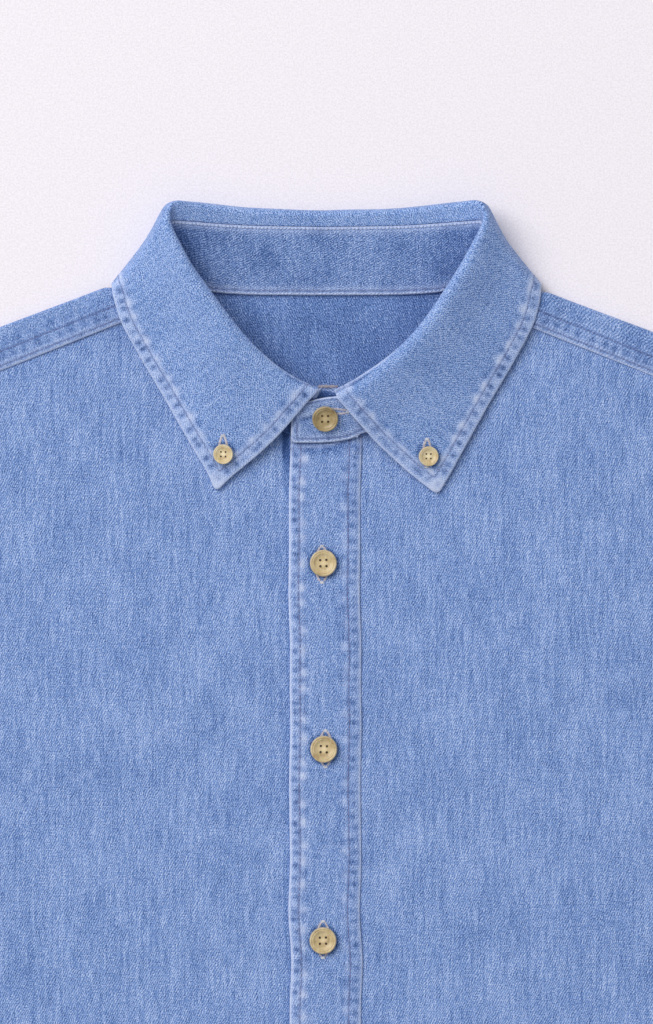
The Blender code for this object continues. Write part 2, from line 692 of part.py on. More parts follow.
def stand_seat():
    """The middle of the stand's left end and its outward normal, where the button goes."""
    low, high = (Vector(point) for point in (STAND_END[1].neck, STAND_END[1].seam))
    run = high - low
    share = (STAND_BUTTON_XY[1] - low.y) / run.y
    normal = Vector((0, -run.z, run.y)).normalized()
    return Vector((STAND_BUTTON_XY[0], STAND_BUTTON_XY[1], low.z + LAP + run.z * share)), normal


def build_buttons(origin):
    clear = BAND / 2 + SEAM
    seat, normal = stand_seat()
    add_button("button_stand", STAND_BUTTON, seat + normal * (clear + STAND_BUTTON_LIFT), normal, origin)
    for i in range(BUTTON_COUNT):
        y = FIRST_BUTTON_Y - BUTTON_PITCH * i
        top = front_level(BUTTON_X, y) + WALL / 2 + LAID + BAND + 2 * SEAM
        add_button(f"button_{i + 1}", BUTTON, (BUTTON_X, y, top), (0, 0, 1), origin)
    for name, side in (("left", 1), ("right", -1)):
        x, y = COLLAR_BUTTON_XY
        seat, normal = leaf_seat(x, y, side)
        point = seat + normal * (clear + COLLAR_BUTTON_LIFT)
        add_button(f"button_collar_{name}", COLLAR_BUTTON, point, normal, origin)
        x, y = cuff_place(CUFF_END + 0.5 * CUFF_LAP / math.dist(CUFF_OUTER, CUFF_INNER), CUFF_LENGTH / 2)
        top = cuff_path()[-1][1] + clear
        add_button(f"button_cuff_{name}", STAND_BUTTON, (x * side, y, top), (0, 0, 1), origin)


def main():
    clear_scene()
    collar_back_y = max(section.roll[1] for section in COLLAR) + BAND / 2
    origin = bpy.data.objects.new("shirt", None)
    origin.location = (0, -(collar_back_y + BACK_HEM_Y) / 2 * MM, 0)
    bpy.context.scene.collection.objects.link(origin)
    build_back(origin)
    build_fronts(origin)
    build_yoke(origin)
    build_placket(origin)
    build_stand(origin)
    build_leaf(origin)
    build_sleeves(origin)
    build_buttons(origin)


main()
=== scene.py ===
"""A washed denim shirt, buttoned up and laid flat: cloth, sewing, buttons and a plain studio.

Sizes are in millimetres in the shirt's own frame: x is zero at the centre front and runs to the wearer's left,
y is zero level with the collar's side corners and runs up to the collar, and z is the height above the surface
that the shirt lies on. Meshes are in metres in the frame's place.
"""

import json
import logging
import math
from dataclasses import dataclass, field
from enum import Enum
from typing import Callable, Optional, Sequence

import bmesh
import bpy
import numpy as np
from mathutils import Matrix, Vector
from mathutils.kdtree import KDTree

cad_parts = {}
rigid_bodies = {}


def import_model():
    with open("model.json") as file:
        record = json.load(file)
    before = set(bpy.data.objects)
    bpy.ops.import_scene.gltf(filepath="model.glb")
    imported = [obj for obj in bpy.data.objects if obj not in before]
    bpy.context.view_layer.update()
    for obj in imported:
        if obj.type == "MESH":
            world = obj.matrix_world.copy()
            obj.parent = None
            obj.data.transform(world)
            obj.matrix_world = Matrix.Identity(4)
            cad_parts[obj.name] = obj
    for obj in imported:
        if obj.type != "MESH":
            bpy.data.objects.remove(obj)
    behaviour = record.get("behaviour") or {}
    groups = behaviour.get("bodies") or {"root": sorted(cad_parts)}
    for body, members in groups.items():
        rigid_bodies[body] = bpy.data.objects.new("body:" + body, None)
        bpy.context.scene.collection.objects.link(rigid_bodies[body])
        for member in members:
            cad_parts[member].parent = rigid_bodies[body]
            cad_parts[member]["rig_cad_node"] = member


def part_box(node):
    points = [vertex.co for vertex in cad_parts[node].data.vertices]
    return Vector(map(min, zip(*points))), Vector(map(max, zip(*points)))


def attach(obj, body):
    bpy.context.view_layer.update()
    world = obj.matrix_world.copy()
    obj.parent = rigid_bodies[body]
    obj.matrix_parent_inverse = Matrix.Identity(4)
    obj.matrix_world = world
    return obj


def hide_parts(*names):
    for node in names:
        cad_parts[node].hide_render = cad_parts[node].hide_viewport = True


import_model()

LOG = logging.getLogger("shirt")
MM = 0.001
BACK_HEM_FROM_ORIGIN = 0.775
Array = np.ndarray
Colour = tuple[float, float, float]


# ---------------------------------------------------------------- curves and grids


def ramp(u: Array) -> Array:
    """An even ramp from 0 at 0 to 1 at 1.

    Args:
        u: Where on the ramp, clipped to 0..1.

    Returns:
        The ramp's height.
    """
    u = np.clip(u, 0.0, 1.0)
    return u * u * (3 - 2 * u)


def bell(distance: Array, width: float, power: int = 2) -> Array:
    """1 at no distance, falling softly to nothing past the width."""
    return np.exp(-((distance / width) ** power))


def ease(knots: Sequence[float], values: Array, at: Array) -> Array:
    """A smooth curve through values at rising knots, with no swing past any of them.

    Args:
        knots: Rising numbers.
        values: One value or one array of values for each knot.
        at: Where to read the curve.

    Returns:
        The curve's values, one for each place.
    """
    knots = np.asarray(knots, float)
    values = np.asarray(values, float)
    flat = values.reshape(len(knots), -1)
    spans = np.diff(knots)[:, None]
    rises = np.diff(flat, axis=0) / spans
    before, after = rises[:-1], rises[1:]
    total = np.where(before + after == 0, 1.0, before + after)
    inner = np.where(before * after <= 0, 0.0, 2 * before * after / total)
    slopes = np.vstack([rises[:1], inner, rises[-1:]])
    where = np.clip(np.asarray(at, float), knots[0], knots[-1])
    spots = where.ravel()
    i = np.clip(np.searchsorted(knots, spots, side="right") - 1, 0, len(knots) - 2)
    span = spans[i]
    u = (spots - knots[i])[:, None] / span
    start = (1 + 2 * u) * (1 - u) ** 2 * flat[i] + u * (1 - u) ** 2 * span * slopes[i]
    end = u * u * (3 - 2 * u) * flat[i + 1] + u * u * (u - 1) * span * slopes[i + 1]
    return (start + end).reshape(where.shape + values.shape[1:])


def unit(vectors: Array) -> Array:
    """The vectors at length 1."""
    return vectors / np.maximum(np.linalg.norm(vectors, axis=-1, keepdims=True), 1e-12)


def run_lengths(points: Array) -> Array:
    """The length along a line of points up to each of them."""
    steps = np.linalg.norm(np.diff(points, axis=0), axis=1)
    return np.concatenate([[0.0], np.cumsum(steps)])


def respace(points: Array, shares: Array) -> Array:
    """Points on a line at shares of its length.

    Args:
        points: The line.
        shares: Rising shares from 0 to 1.

    Returns:
        One point for each share.
    """
    lengths = run_lengths(points)
    at = shares * lengths[-1]
    return np.stack([np.interp(at, lengths, points[:, i]) for i in range(points.shape[1])], axis=1)


RIM_STEPS = (0.0, 0.12, 0.35, 0.65, 1.0)


def graded(length: float, step: float, first: float = 0.0, last: float = 0.0, fine: float = 0.6) -> Array:
    """Shares along a length, about step apart, and finer beside an end that is sewn.

    Args:
        length: The length in millimetres.
        step: The usual step.
        first: How far the fine steps reach from the start, or 0.
        last: How far they reach from the end, or 0.
        fine: The fine step.

    Returns:
        Rising shares from 0 to 1.
    """
    def border(reach: float) -> Array:
        if not reach:
            return np.array(RIM_STEPS)
        count = max(1, round((reach - RIM_STEPS[-1]) / fine))
        return np.concatenate([RIM_STEPS[:-1], np.linspace(RIM_STEPS[-1], reach, count + 1)])

    head, tail = border(first), border(last)
    count = max(1, round((length - head[-1] - tail[-1]) / step))
    middle = np.linspace(head[-1], length - tail[-1], count + 1)
    return np.concatenate([head[:-1], middle, (length - tail)[::-1][1:]]) / length


def regrid(points: Array, along: Array, across: Array) -> Array:
    """A grid of points at new shares of its lines' lengths, first across and then along.

    Args:
        points: The grid, along by across by 3.
        along: Shares for the first axis.
        across: Shares for the second axis.

    Returns:
        The new grid.
    """
    crossed = np.stack([respace(line, across) for line in points])
    return np.stack([respace(crossed[:, j], along) for j in range(crossed.shape[1])], axis=1)


def tree_of(points: Array, numbers: Optional[Sequence[int]] = None) -> KDTree:
    """A finder of the nearest point, which gives the points' numbers, or their order."""
    tree = KDTree(len(points))
    for i, point in zip(range(len(points)) if numbers is None else numbers, points):
        tree.insert(point, int(i))
    tree.balance()
    return tree


def near(points: Array, line: Array, spacing: float = 0.5) -> tuple[Array, Array]:
    """Distance from each point to a line, and where along the line the nearest place is.

    Args:
        points: Points in any array shape, with 3 last.
        line: The line's points.
        spacing: How finely the line is read.

    Returns:
        Distances and lengths along, in the points' array shape.
    """
    length = run_lengths(line)[-1]
    count = max(2, int(length / spacing))
    tree = tree_of(respace(line, np.linspace(0, 1, count)))
    found = [tree.find(point)[1:] for point in points.reshape(-1, 3)]
    shape = points.shape[:-1]
    distance = np.array([hit[1] for hit in found]).reshape(shape)
    along = np.array([hit[0] for hit in found]).reshape(shape) * length / (count - 1)
    return distance, along


# ---------------------------------------------------------------- the shirt's measures


@dataclass(frozen=True)
class Fold:
    """A soft fold in the upper layer."""

    x: float
    y: float
    turn: float
    length: float
    width: float
    height: float


FOLDS = (
    Fold(228, -318, 62, 60, 13, 1.4), Fold(-231, -330, 118, 74, 15, 1.3), Fold(196, -402, 74, 82, 17, 0.9),
    Fold(-204, -440, 101, 70, 14, 1.1), Fold(120, -610, 84, 88, 20, 0.8), Fold(-92, -640, 97, 72, 17, 0.9),
    Fold(330, -236, -20, 46, 12, 1.6), Fold(352, -262, -32, 40, 9, 1.2), Fold(-322, -228, -158, 52, 13, 1.5),
    Fold(430, -372, -8, 36, 10, 1.9), Fold(452, -392, 4, 31, 8, 1.4), Fold(-424, -364, -175, 42, 11, 1.8),
    Fold(-447, -398, 172, 30, 9, 1.5), Fold(528, -512, -52, 44, 9, 1.1), Fold(-540, -500, -122, 40, 10, 1.2),
)


@dataclass(frozen=True)
class Cut:
    """The shirt's cut and how its layers lie, in millimetres."""

    wall: float = 1.2
    band: float = 1.6
    seam: float = 0.3
    laid: float = 0.4
    neck_air: float = 0.5
    underarm: tuple[float, float] = (280.0, -270.0)
    shoulder: tuple[float, float] = (222.5, -43.95)
    hem_side: tuple[float, float] = (275.0, -690.0)
    front_hem: float = -760.0
    back_hem: float = -775.0
    tail_start: float = 0.3
    back_yoke: float = -90.0
    neck_x: float = 78.0
    front_seam_at: tuple[float, float] = (103.2, -19.7)
    front_seam_slope: float = -0.397
    front_neck: float = -76.2
    loft: float = 1.5
    cuff_outer: tuple[float, float] = (605.0, -521.0)
    cuff_inner: tuple[float, float] = (506.0, -598.0)
    side_seam: tuple = ((-690.0, 275.0), (-480.0, 268.0), (-270.0, 280.0))
    armhole: tuple = (
        (-270.0, 280.0), (-245.0, 264.5), (-210.0, 246.0), (-170.0, 232.5),
        (-130.0, 226.0), (-90.0, 223.5), (-43.95, 222.5),
    )

    @property
    def step(self) -> float:
        """From the middle of one layer to the middle of the next."""
        return self.wall + self.seam

    def armhole_x(self, y: Array) -> Array:
        """The armhole's distance from the centre at a height."""
        rows = np.array(self.armhole)
        return ease(rows[:, 0], rows[:, 1], y)

    def armhole_points(self, shares: Array) -> Array:
        """Points of the armhole, from the shoulder at share 0 to the underarm at 1."""
        y = self.shoulder[1] + (self.underarm[1] - self.shoulder[1]) * np.asarray(shares)
        return np.stack([self.armhole_x(y), y], axis=-1)

    def half_width(self, y: Array) -> Array:
        """Half the body's width at a height."""
        rows = np.array(self.side_seam)
        return np.where(y > self.underarm[1], self.armhole_x(y), ease(rows[:, 0], rows[:, 1], y))

    def waist(self, y: Array) -> Array:
        """How far the side seam bends in from a straight line."""
        down = (self.underarm[1] - y) / (self.underarm[1] - self.hem_side[1])
        return self.half_width(y) - self.underarm[0] - (self.hem_side[0] - self.underarm[0]) * down

    def hem_y(self, x: Array, centre: float) -> Array:
        """The shirt-tail hem, level in the middle and rising to the side seams."""
        rise = ramp((np.abs(x) / self.hem_side[0] - self.tail_start) / (1 - self.tail_start))
        return centre + (self.hem_side[1] - centre) * rise

    def fold_y(self, x: Array) -> Array:
        """The shoulder line, set back where the collar covers it."""
        return -0.374 * (np.abs(x) - 105.0) - 2.2 * (1 - ramp((np.abs(x) - 104.0) / 8))

    def front_seam_y(self, x: Array) -> Array:
        """The front yoke seam."""
        return self.front_seam_at[1] + self.front_seam_slope * (np.abs(x) - self.front_seam_at[0])

    def under_level(self, x: Array, y: Array) -> Array:
        """Middle of the lowest body layer, which climbs over the collar folded under the neck."""
        climb = np.clip((y + 30.0) / 18.0, 0, 1)
        return self.wall / 2 + (self.band + self.seam) * climb * (1 - ramp((np.abs(x) - 110) / 14))

    def air_at_neck(self, x: Array, y: Array) -> Array:
        """Air between the layers near the neck."""
        return self.neck_air * ramp((y + 75) / 30) * (1 - ramp((np.abs(x) - 128) / 30))

    def fold_height(self, x: Array, y: Array) -> Array:
        """What the soft folds add to the upper layer's height."""
        total = np.zeros(np.broadcast(x, y).shape)
        for fold in FOLDS:
            turn = math.radians(fold.turn)
            along = (x - fold.x) * math.cos(turn) + (y - fold.y) * math.sin(turn)
            across = (y - fold.y) * math.cos(turn) - (x - fold.x) * math.sin(turn)
            total += fold.height * np.exp(-((along / fold.length) ** 2) - (across / fold.width) ** 2)
        return total

    def front_level(self, x: Array, y: Array) -> Array:
        """Middle of the front, with air under it away from its edges."""
        from_side = ramp((self.half_width(y) - np.abs(x)) / 60)
        from_hem = ramp((y - self.hem_y(x, self.front_hem)) / 60)
        from_top = ramp((-100.0 - y) / 90)
        air = from_side * from_hem * (from_top * self.loft + self.fold_height(x, y))
        return self.under_level(x, y) + self.step + self.air_at_neck(x, y) + air

    def yoke_level(self, x: Array, y: Array) -> Array:
        """Middle of the yoke's front strip."""
        return self.under_level(x, y) + 2 * (self.step + self.air_at_neck(x, y))

    @staticmethod
    def settled(points: Array) -> Array:
        """The points with the wearer's right shoulder lying a little higher, as it fell."""
        x, y = points[..., 0], points[..., 1]
        moved = points.copy()
        moved[..., 1] += 2.3 * ramp((-x - 84) / 22) * ramp((y + 150) / 90) * (1 - ramp((-x - 230) / 120))
        return moved


CUT = Cut()

# The collar from the centre back to the front end of the leaf: neck, seam, crest, roll, middle and edge.
COLLAR = np.array((
    ((0, -3.4, 4.3), (0, 30.5, 8.6), (0, 38.0, 9.4), (0, 41.0, 5.6), (0, 28, 0.9), (0, -9, 0.8)),
    ((30, -3.3, 4.3), (34, 31.2, 9.4), (35, 38.8, 10.4), (36, 41.8, 6.2), (40, 28, 0.9), (50, -9, 0.8)),
    ((56, -2, 4.8), (61, 33.4, 13), (63, 41.4, 14.4), (66, 44.2, 9), (72, 28, 1.3), (86, -7, 0.8)),
    ((66, 1, 5.8), (69, 35.2, 15.6), (71.5, 43.2, 17.4), (75, 44.6, 12), (84, 26, 3), (102.6, 0.8, 0.8)),
    ((72, 4.6, 7), (73.4, 35.6, 17.6), (75.6, 42, 20), (80, 42, 16.4), (92, 22.4, 8.4), (107.4, 1.6, 3.9)),
    ((78, 8, 8.4), (75.6, 31, 18.8), (75.8, 34.4, 22.8), (79.4, 34, 25), (91.6, 16, 16.4), (107.2, -4, 8.2)),
    ((77.4, -10, 8.2), (69, 11.6, 19), (67.4, 15.4, 23.6), (71, 13, 26.2), (87.6, 1, 16.2), (104.8, -15, 8)),
    ((73, -22, 6.4), (59.4, -5.2, 18), (56.8, -2, 22.4), (60.4, -5, 25), (76.6, -18.6, 15), (95.2, -34.6, 6.2)),
    ((63, -38, 5.2), (45.8, -24.6, 16.4), (42.6, -22, 20.6), (46, -25.4, 23), (63.4, -40.6, 13.6), (83.8, -54, 5.7)),
    ((47, -56, 5.1), (30.6, -39.8, 14.6), (27.8, -37, 18.4), (31, -40.4, 20.6), (49.4, -56.6, 12.6),
     (73.6, -72, 5.6)),
    ((27, -69.4, 5.1), (14, -51.6, 12.9), (11.5, -48.4, 16.4), (14.4, -51.9, 18.2), (34.8, -68.4, 11.4),
     (63.8, -89, 5.5)),
    ((12, -75.4, 5.1), (5.4, -54.4, 12.2), (4.3, -52, 15.2), (6.5, -54.4, 16.6), (27, -73.7, 10.6),
     (56.4, -101.4, 5.4)),
), float)
LAST = len(COLLAR) - 1

# The stand's end past the leaf: neck and top edge.
STAND_END = np.array((
    ((3, -76.9, 5.1), (1.5, -54.6, 11.8)), ((-6, -77.3, 5.1), (-5.6, -55.8, 11.4)),
    ((-12.6, -77.3, 5.1), (-12, -57.6, 10.7)), ((-16.4, -77.2, 5.1), (-16, -62.0, 9.5)),
    ((-17.6, -76.6, 5.3), (-17.5, -67.6, 7.9)),
), float)
# How far the left front of the collar is raised over the pattern, and the right one lowered.
LAP = 1.1

# How far the roll lies outside its pattern on the wearer's right and left, and its seam below it, for each
# section; and how much of that each line across has.
ROLL_RIGHT = np.array((0, 0, 0.3, 1.2, 2.6, 3.0, 2.8, 1.8, 0.3, 0, 0, 0), float)
ROLL_LEFT = np.array((0, 0, 0.4, 1.6, 3.3, 3.5, 3.1, 2.9, 2.2, 1.0, 0, 0), float)
SEAM_SAG = np.array((0, 0.2, 1.0, 2.3, 2.4, 1.6, 0.4, 0, 0, 0, 0, 0), float)
ROLL_SHARE = np.array((0, 1, 1, 0.45, 0, 0), float)
SAG_SHARE = np.array((0, 1, 0, 0, 0, 0), float)
# How far the leaves' front edges lie from their pattern, at lines across: sideways, then towards the neck.
FRONT_KNOTS = (1, 2, 2.4, 2.6, 2.8, 3, 3.25, 3.5, 3.75, 4, 4.25, 4.5, 4.75, 5)
FRONT_SHIFT_RIGHT = (
    (0, 0.3, 0.96, 1.11, 0.79, 0.3, -0.62, -0.34, 0.34, 0.72, 0.68, 0.29, -0.16, 0),
    (0, 1.21, 1.69, 1.48, 1.39, 1.33, 0.77, 0.32, -0.35, -0.73, -0.74, -0.34, 0.16, 0),
)
FRONT_SHIFT_LEFT = (
    (0, 0, 0, -0.15, -0.4, -0.6, -0.45, -0.78, -1.25, -1.7, -1.6, -1.42, -0.8, 0),
    (0, 0, 0, -0.1, -0.2, -0.3, -0.4, -0.75, -1.17, -1.6, -1.5, -1.34, -0.75, 0),
)
# How far the leaf lies below its pattern behind the neck, and inside it beside the rolls, for the sections from
# the back; and how much of that each line from the seam to the edge has.
LEAF_DOWN = (2.9, 2.6, 1.9, 2.0, 2.0, 1.2, 0.5, 0, 0)
LEAF_IN = (0, 0, 0.2, 0.9, 1.9, 1.4, 1.0, 0.5, 0)
LEAF_SHARE = (0.0, 0.6, 1.0, 0.5, 0.0)
# How much of its shift the right leaf's outer edge has, at sections, and the shift across and up.
OUTER_KNOTS, OUTER_SHARE, OUTER_SHIFT = (4, 6, 7, 10, 11), (0, 0.8, 1, 1, 0.2), (1.8, 0.9)


def collar_grid(stations: Array, across: Array) -> Array:
    """Points of the collar's middle surface.

    Args:
        stations: From the right front end, through 0 at the centre back, to the left one.
        across: 0 at the neck, 1 at the seam, 2 crest, 3 roll, 4 middle and 5 edge.

    Returns:
        The points, stations by across by 3.
    """
    at = np.abs(stations)
    points = ease(range(LAST + 1), COLLAR, at)
    flat = np.moveaxis(points, 1, 0).reshape(6, -1)
    grid = np.moveaxis(ease(range(6), flat, across).reshape(len(across), len(at), 3), 0, 1)
    # Near the front the left half lies over the right one, but their edges don't.
    lap = LAP * ramp((at - 8) / 2)[:, None] * (1 - ramp((across - 3) / 2))[None, :]
    side = np.where(stations >= 0, 1.0, -1.0)
    knots = range(LAST + 1)
    out = np.where(side > 0, ease(knots, ROLL_LEFT, at), ease(knots, ROLL_RIGHT, at))
    grid[..., 0] += out[:, None] * ease(range(6), ROLL_SHARE, across)[None, :]
    grid[..., 1] -= ease(knots, SEAM_SAG, at)[:, None] * ease(range(6), SAG_SHARE, across)[None, :]
    grid[..., 0] *= side[:, None]
    grid[..., 2] += lap * side[:, None]
    return grid


# Where each button of the placket and the collar came to lie: x and y.
BUTTON_PLACES = {
    "stand": (-0.4, -65.1), "1": (-1.3, -137.6), "2": (-1.1, -230.6), "3": (-1.5, -326.3), "4": (-0.9, -421.4),
    "5": (-1.2, -515.2), "6": (-1.0, -610.0), "collar_left": (51.1, -84.0), "collar_right": (-51.2, -83.0),
}

# The lower edge of the stand's lapped end: x, then y.
STAND_EDGE = ((-20, -14.7, -8.6, -0.5, 5.7, 14, 20), (-80.4, -80.6, -80.9, -80.5, -78.9, -75.5, -73))


# ---------------------------------------------------------------- sewing and wear


@dataclass(frozen=True)
class SeamWear:
    """What washing leaves beside a row of stitches: a pale rim, hollows that keep their dye, a groove.

    inset, pitch, rim and groove are in millimetres, and hollow is the hollows' depth. ground, blobs, inner and
    bare say how strong the pale band, the hollows, those beyond the row and the bare patches between are.
    """

    inset: float = 6.0
    pitch: float = 5.6
    hollow: float = 0.22
    seed: int = 1
    rim: float = 0.6
    ground: float = 0.6
    blobs: float = 1.0
    inner: float = 0.6
    bare: float = 0.0
    groove: float = 0.55

    def marks(self, distance: Array, along: Array) -> tuple[Array, Array, Array]:
        """Wear, dye and relief beside the seam.

        Args:
            distance: From the sewn edge, in millimetres.
            along: Along the sewn edge, in millimetres.

        Returns:
            Wear from 0 to 1, dye from 0 to 1, and relief in millimetres.
        """
        rng = np.random.default_rng(self.seed)
        hollows = self._hollows(rng, distance, along, self.pitch, 0.6, (1.35, 0.3 * self.inset + 0.15))
        beyond = self._hollows(rng, distance, along, self.pitch * 1.35, 1.38, (1.9, 0.28 * self.inset + 0.3))
        edge = bell(distance, self.rim)
        groove = bell(distance - self.inset, self.groove)
        patches = self._hollows(rng, distance, along, self.pitch * 2.0, 1 + 1.7 / self.inset, (2.3, 2.0))
        band = ramp((distance - 0.2) / 0.9) * (1 - ramp((distance - self.inset - 0.8) / 2.6))
        wear = edge + self.ground * band * (1 - 0.9 * hollows) + self.bare * patches
        dye_and_shade = self.blobs * 0.95 * hollows + 0.85 * groove + self.inner * beyond
        relief = -self.hollow * hollows - 0.16 * groove - 0.3 * self.hollow * beyond + 0.07 * band
        return wear, dye_and_shade, relief

    def _hollows(
        self, rng: np.random.Generator, distance: Array, along: Array, pitch: float, depth: float,
        size: tuple[float, float],
    ) -> Array:
        """Soft uneven spots in a line beside the edge.

        Args:
            rng: The source of unevenness.
            distance: From the edge.
            along: Along the edge.
            pitch: From one spot to the next.
            depth: Their distance from the edge, as a share of the row's.
            size: Their half sizes along and across.

        Returns:
            0 between spots, up to 1 in them.
        """
        count = int(along.max() / pitch) + 4
        middle = (np.arange(count) + rng.uniform(-0.24, 0.24, count)) * pitch
        inset = self.inset * (depth + rng.uniform(-0.1, 0.1, count))
        strength = rng.uniform(0.5, 1.0, count)
        cell = np.clip(np.floor(along / pitch).astype(int), 0, count - 1)
        total = np.zeros_like(distance)
        for shift in (-1, 0, 1):
            i = np.clip(cell + shift, 0, count - 1)
            spot = ((along - middle[i]) / size[0]) ** 2 + ((distance - inset[i]) / size[1]) ** 2
            total = np.maximum(total, strength[i] * np.exp(-spot))
        return total


def undulation(x: Array, y: Array, seed: int, shortest: float = 38.0, longest: float = 130.0) -> Array:
    """A faint unevenness of cloth that lies loose, about 1 either way.

    Args:
        x: Places across.
        y: Places along.
        seed: Fixes the waves.
        shortest: The shortest wave in millimetres.
        longest: The longest.

    Returns:
        Heights, to be scaled.
    """
    rng = np.random.default_rng(seed)
    total = np.zeros(np.broadcast(x, y).shape)
    for _ in range(9):
        wave = math.exp(rng.uniform(math.log(shortest), math.log(longest)))
        turn = rng.uniform(0, math.pi)
        phase = rng.uniform(0, 2 * math.pi)
        total += np.sin((x * math.cos(turn) + y * math.sin(turn)) * 2 * math.pi / wave + phase) * wave / longest
    return total / 1.6


# ---------------------------------------------------------------- materials


class Wiring:
    """Short calls for wiring a material's nodes."""

    def __init__(self, name: str) -> None:
        """Starts a material.

        Args:
            name: The material's name.
        """
        self.material = bpy.data.materials.new(name)
        self.material.use_nodes = True
        self.tree = self.material.node_tree
        self.shader = self.tree.nodes["Principled BSDF"]

    def node(self, kind: str, **settings: object) -> bpy.types.Node:
        """A new node with its settings."""
        made = self.tree.nodes.new(kind)
        for key, value in settings.items():
            setattr(made, key, value)
        return made

    def put(self, socket: bpy.types.NodeSocket, value: object) -> None:
        """Links a socket to a socket, or sets its number."""
        if isinstance(value, bpy.types.NodeSocket):
            self.tree.links.new(value, socket)
        else:
            socket.default_value = value

    def set(self, **inputs: object) -> None:
        """Sets the shader's inputs, whose names have spaces in place of the underscores."""
        for name, value in inputs.items():
            self.shader.inputs[name.replace("_", " ")].default_value = value

    def sum(self, operation: str, *values: object, clamp: bool = False) -> bpy.types.NodeSocket:
        """A Math node on sockets and numbers."""
        made = self.node("ShaderNodeMath", operation=operation, use_clamp=clamp)
        for socket, value in zip(made.inputs, values):
            self.put(socket, value)
        return made.outputs[0]

    def scaled(self, vector: bpy.types.NodeSocket, scale: tuple, turn: float = 0.0) -> bpy.types.NodeSocket:
        """A vector stretched and turned about z, in radians."""
        made = self.node("ShaderNodeMapping")
        made.inputs["Rotation"].default_value = (0, 0, turn)
        made.inputs["Scale"].default_value = scale
        self.put(made.inputs["Vector"], vector)
        return made.outputs[0]

    def noise(
        self, vector: bpy.types.NodeSocket, scale: float = 1.0, detail: float = 1.0, rough: float = 0.5
    ) -> bpy.types.NodeSocket:
        """Smooth noise from 0 to 1 around 0.5."""
        made = self.node("ShaderNodeTexNoise")
        self.put(made.inputs["Vector"], vector)
        made.inputs["Scale"].default_value = scale
        made.inputs["Detail"].default_value = detail
        made.inputs["Roughness"].default_value = rough
        return made.outputs[0]

    def spread(self, value: bpy.types.NodeSocket, low: float, high: float) -> bpy.types.NodeSocket:
        """Takes low..high to -1..1 without clipping."""
        made = self.node("ShaderNodeMapRange", clamp=False)
        for socket, number in zip(made.inputs[1:5], (low, high, -1.0, 1.0)):
            socket.default_value = number
        self.put(made.inputs[0], value)
        return made.outputs[0]

    def colours(self, value: bpy.types.NodeSocket, stops: Sequence[tuple[float, Colour]]) -> bpy.types.NodeSocket:
        """A colour ramp."""
        made = self.node("ShaderNodeValToRGB")
        ramp_stops = made.color_ramp.elements
        while len(ramp_stops) < len(stops):
            ramp_stops.new(0.5)
        for stop, (place, colour) in zip(ramp_stops, stops):
            stop.position = place
            stop.color = (*colour, 1)
        self.put(made.inputs[0], value)
        return made.outputs[0]

    def mix(self, share: bpy.types.NodeSocket, start: bpy.types.NodeSocket, end: Colour) -> bpy.types.NodeSocket:
        """A colour between a socket's and a fixed one."""
        made = self.node("ShaderNodeMix", data_type="RGBA")
        self.put(made.inputs["Factor"], share)
        self.put(made.inputs[6], start)
        made.inputs[7].default_value = (*end, 1)
        return made.outputs[2]

    def bump(self, height: bpy.types.NodeSocket, distance: float, strength: float = 1.0) -> None:
        """Feeds a height in millimetres to the shader's normal."""
        made = self.node("ShaderNodeBump")
        made.inputs["Strength"].default_value = strength
        made.inputs["Distance"].default_value = distance
        self.put(made.inputs["Height"], height)
        self.put(self.shader.inputs["Normal"], made.outputs[0])

    def attribute(self, name: str) -> bpy.types.NodeSocket:
        """A number kept on the piece's points."""
        return self.node("ShaderNodeAttribute", attribute_name=name).outputs["Fac"]


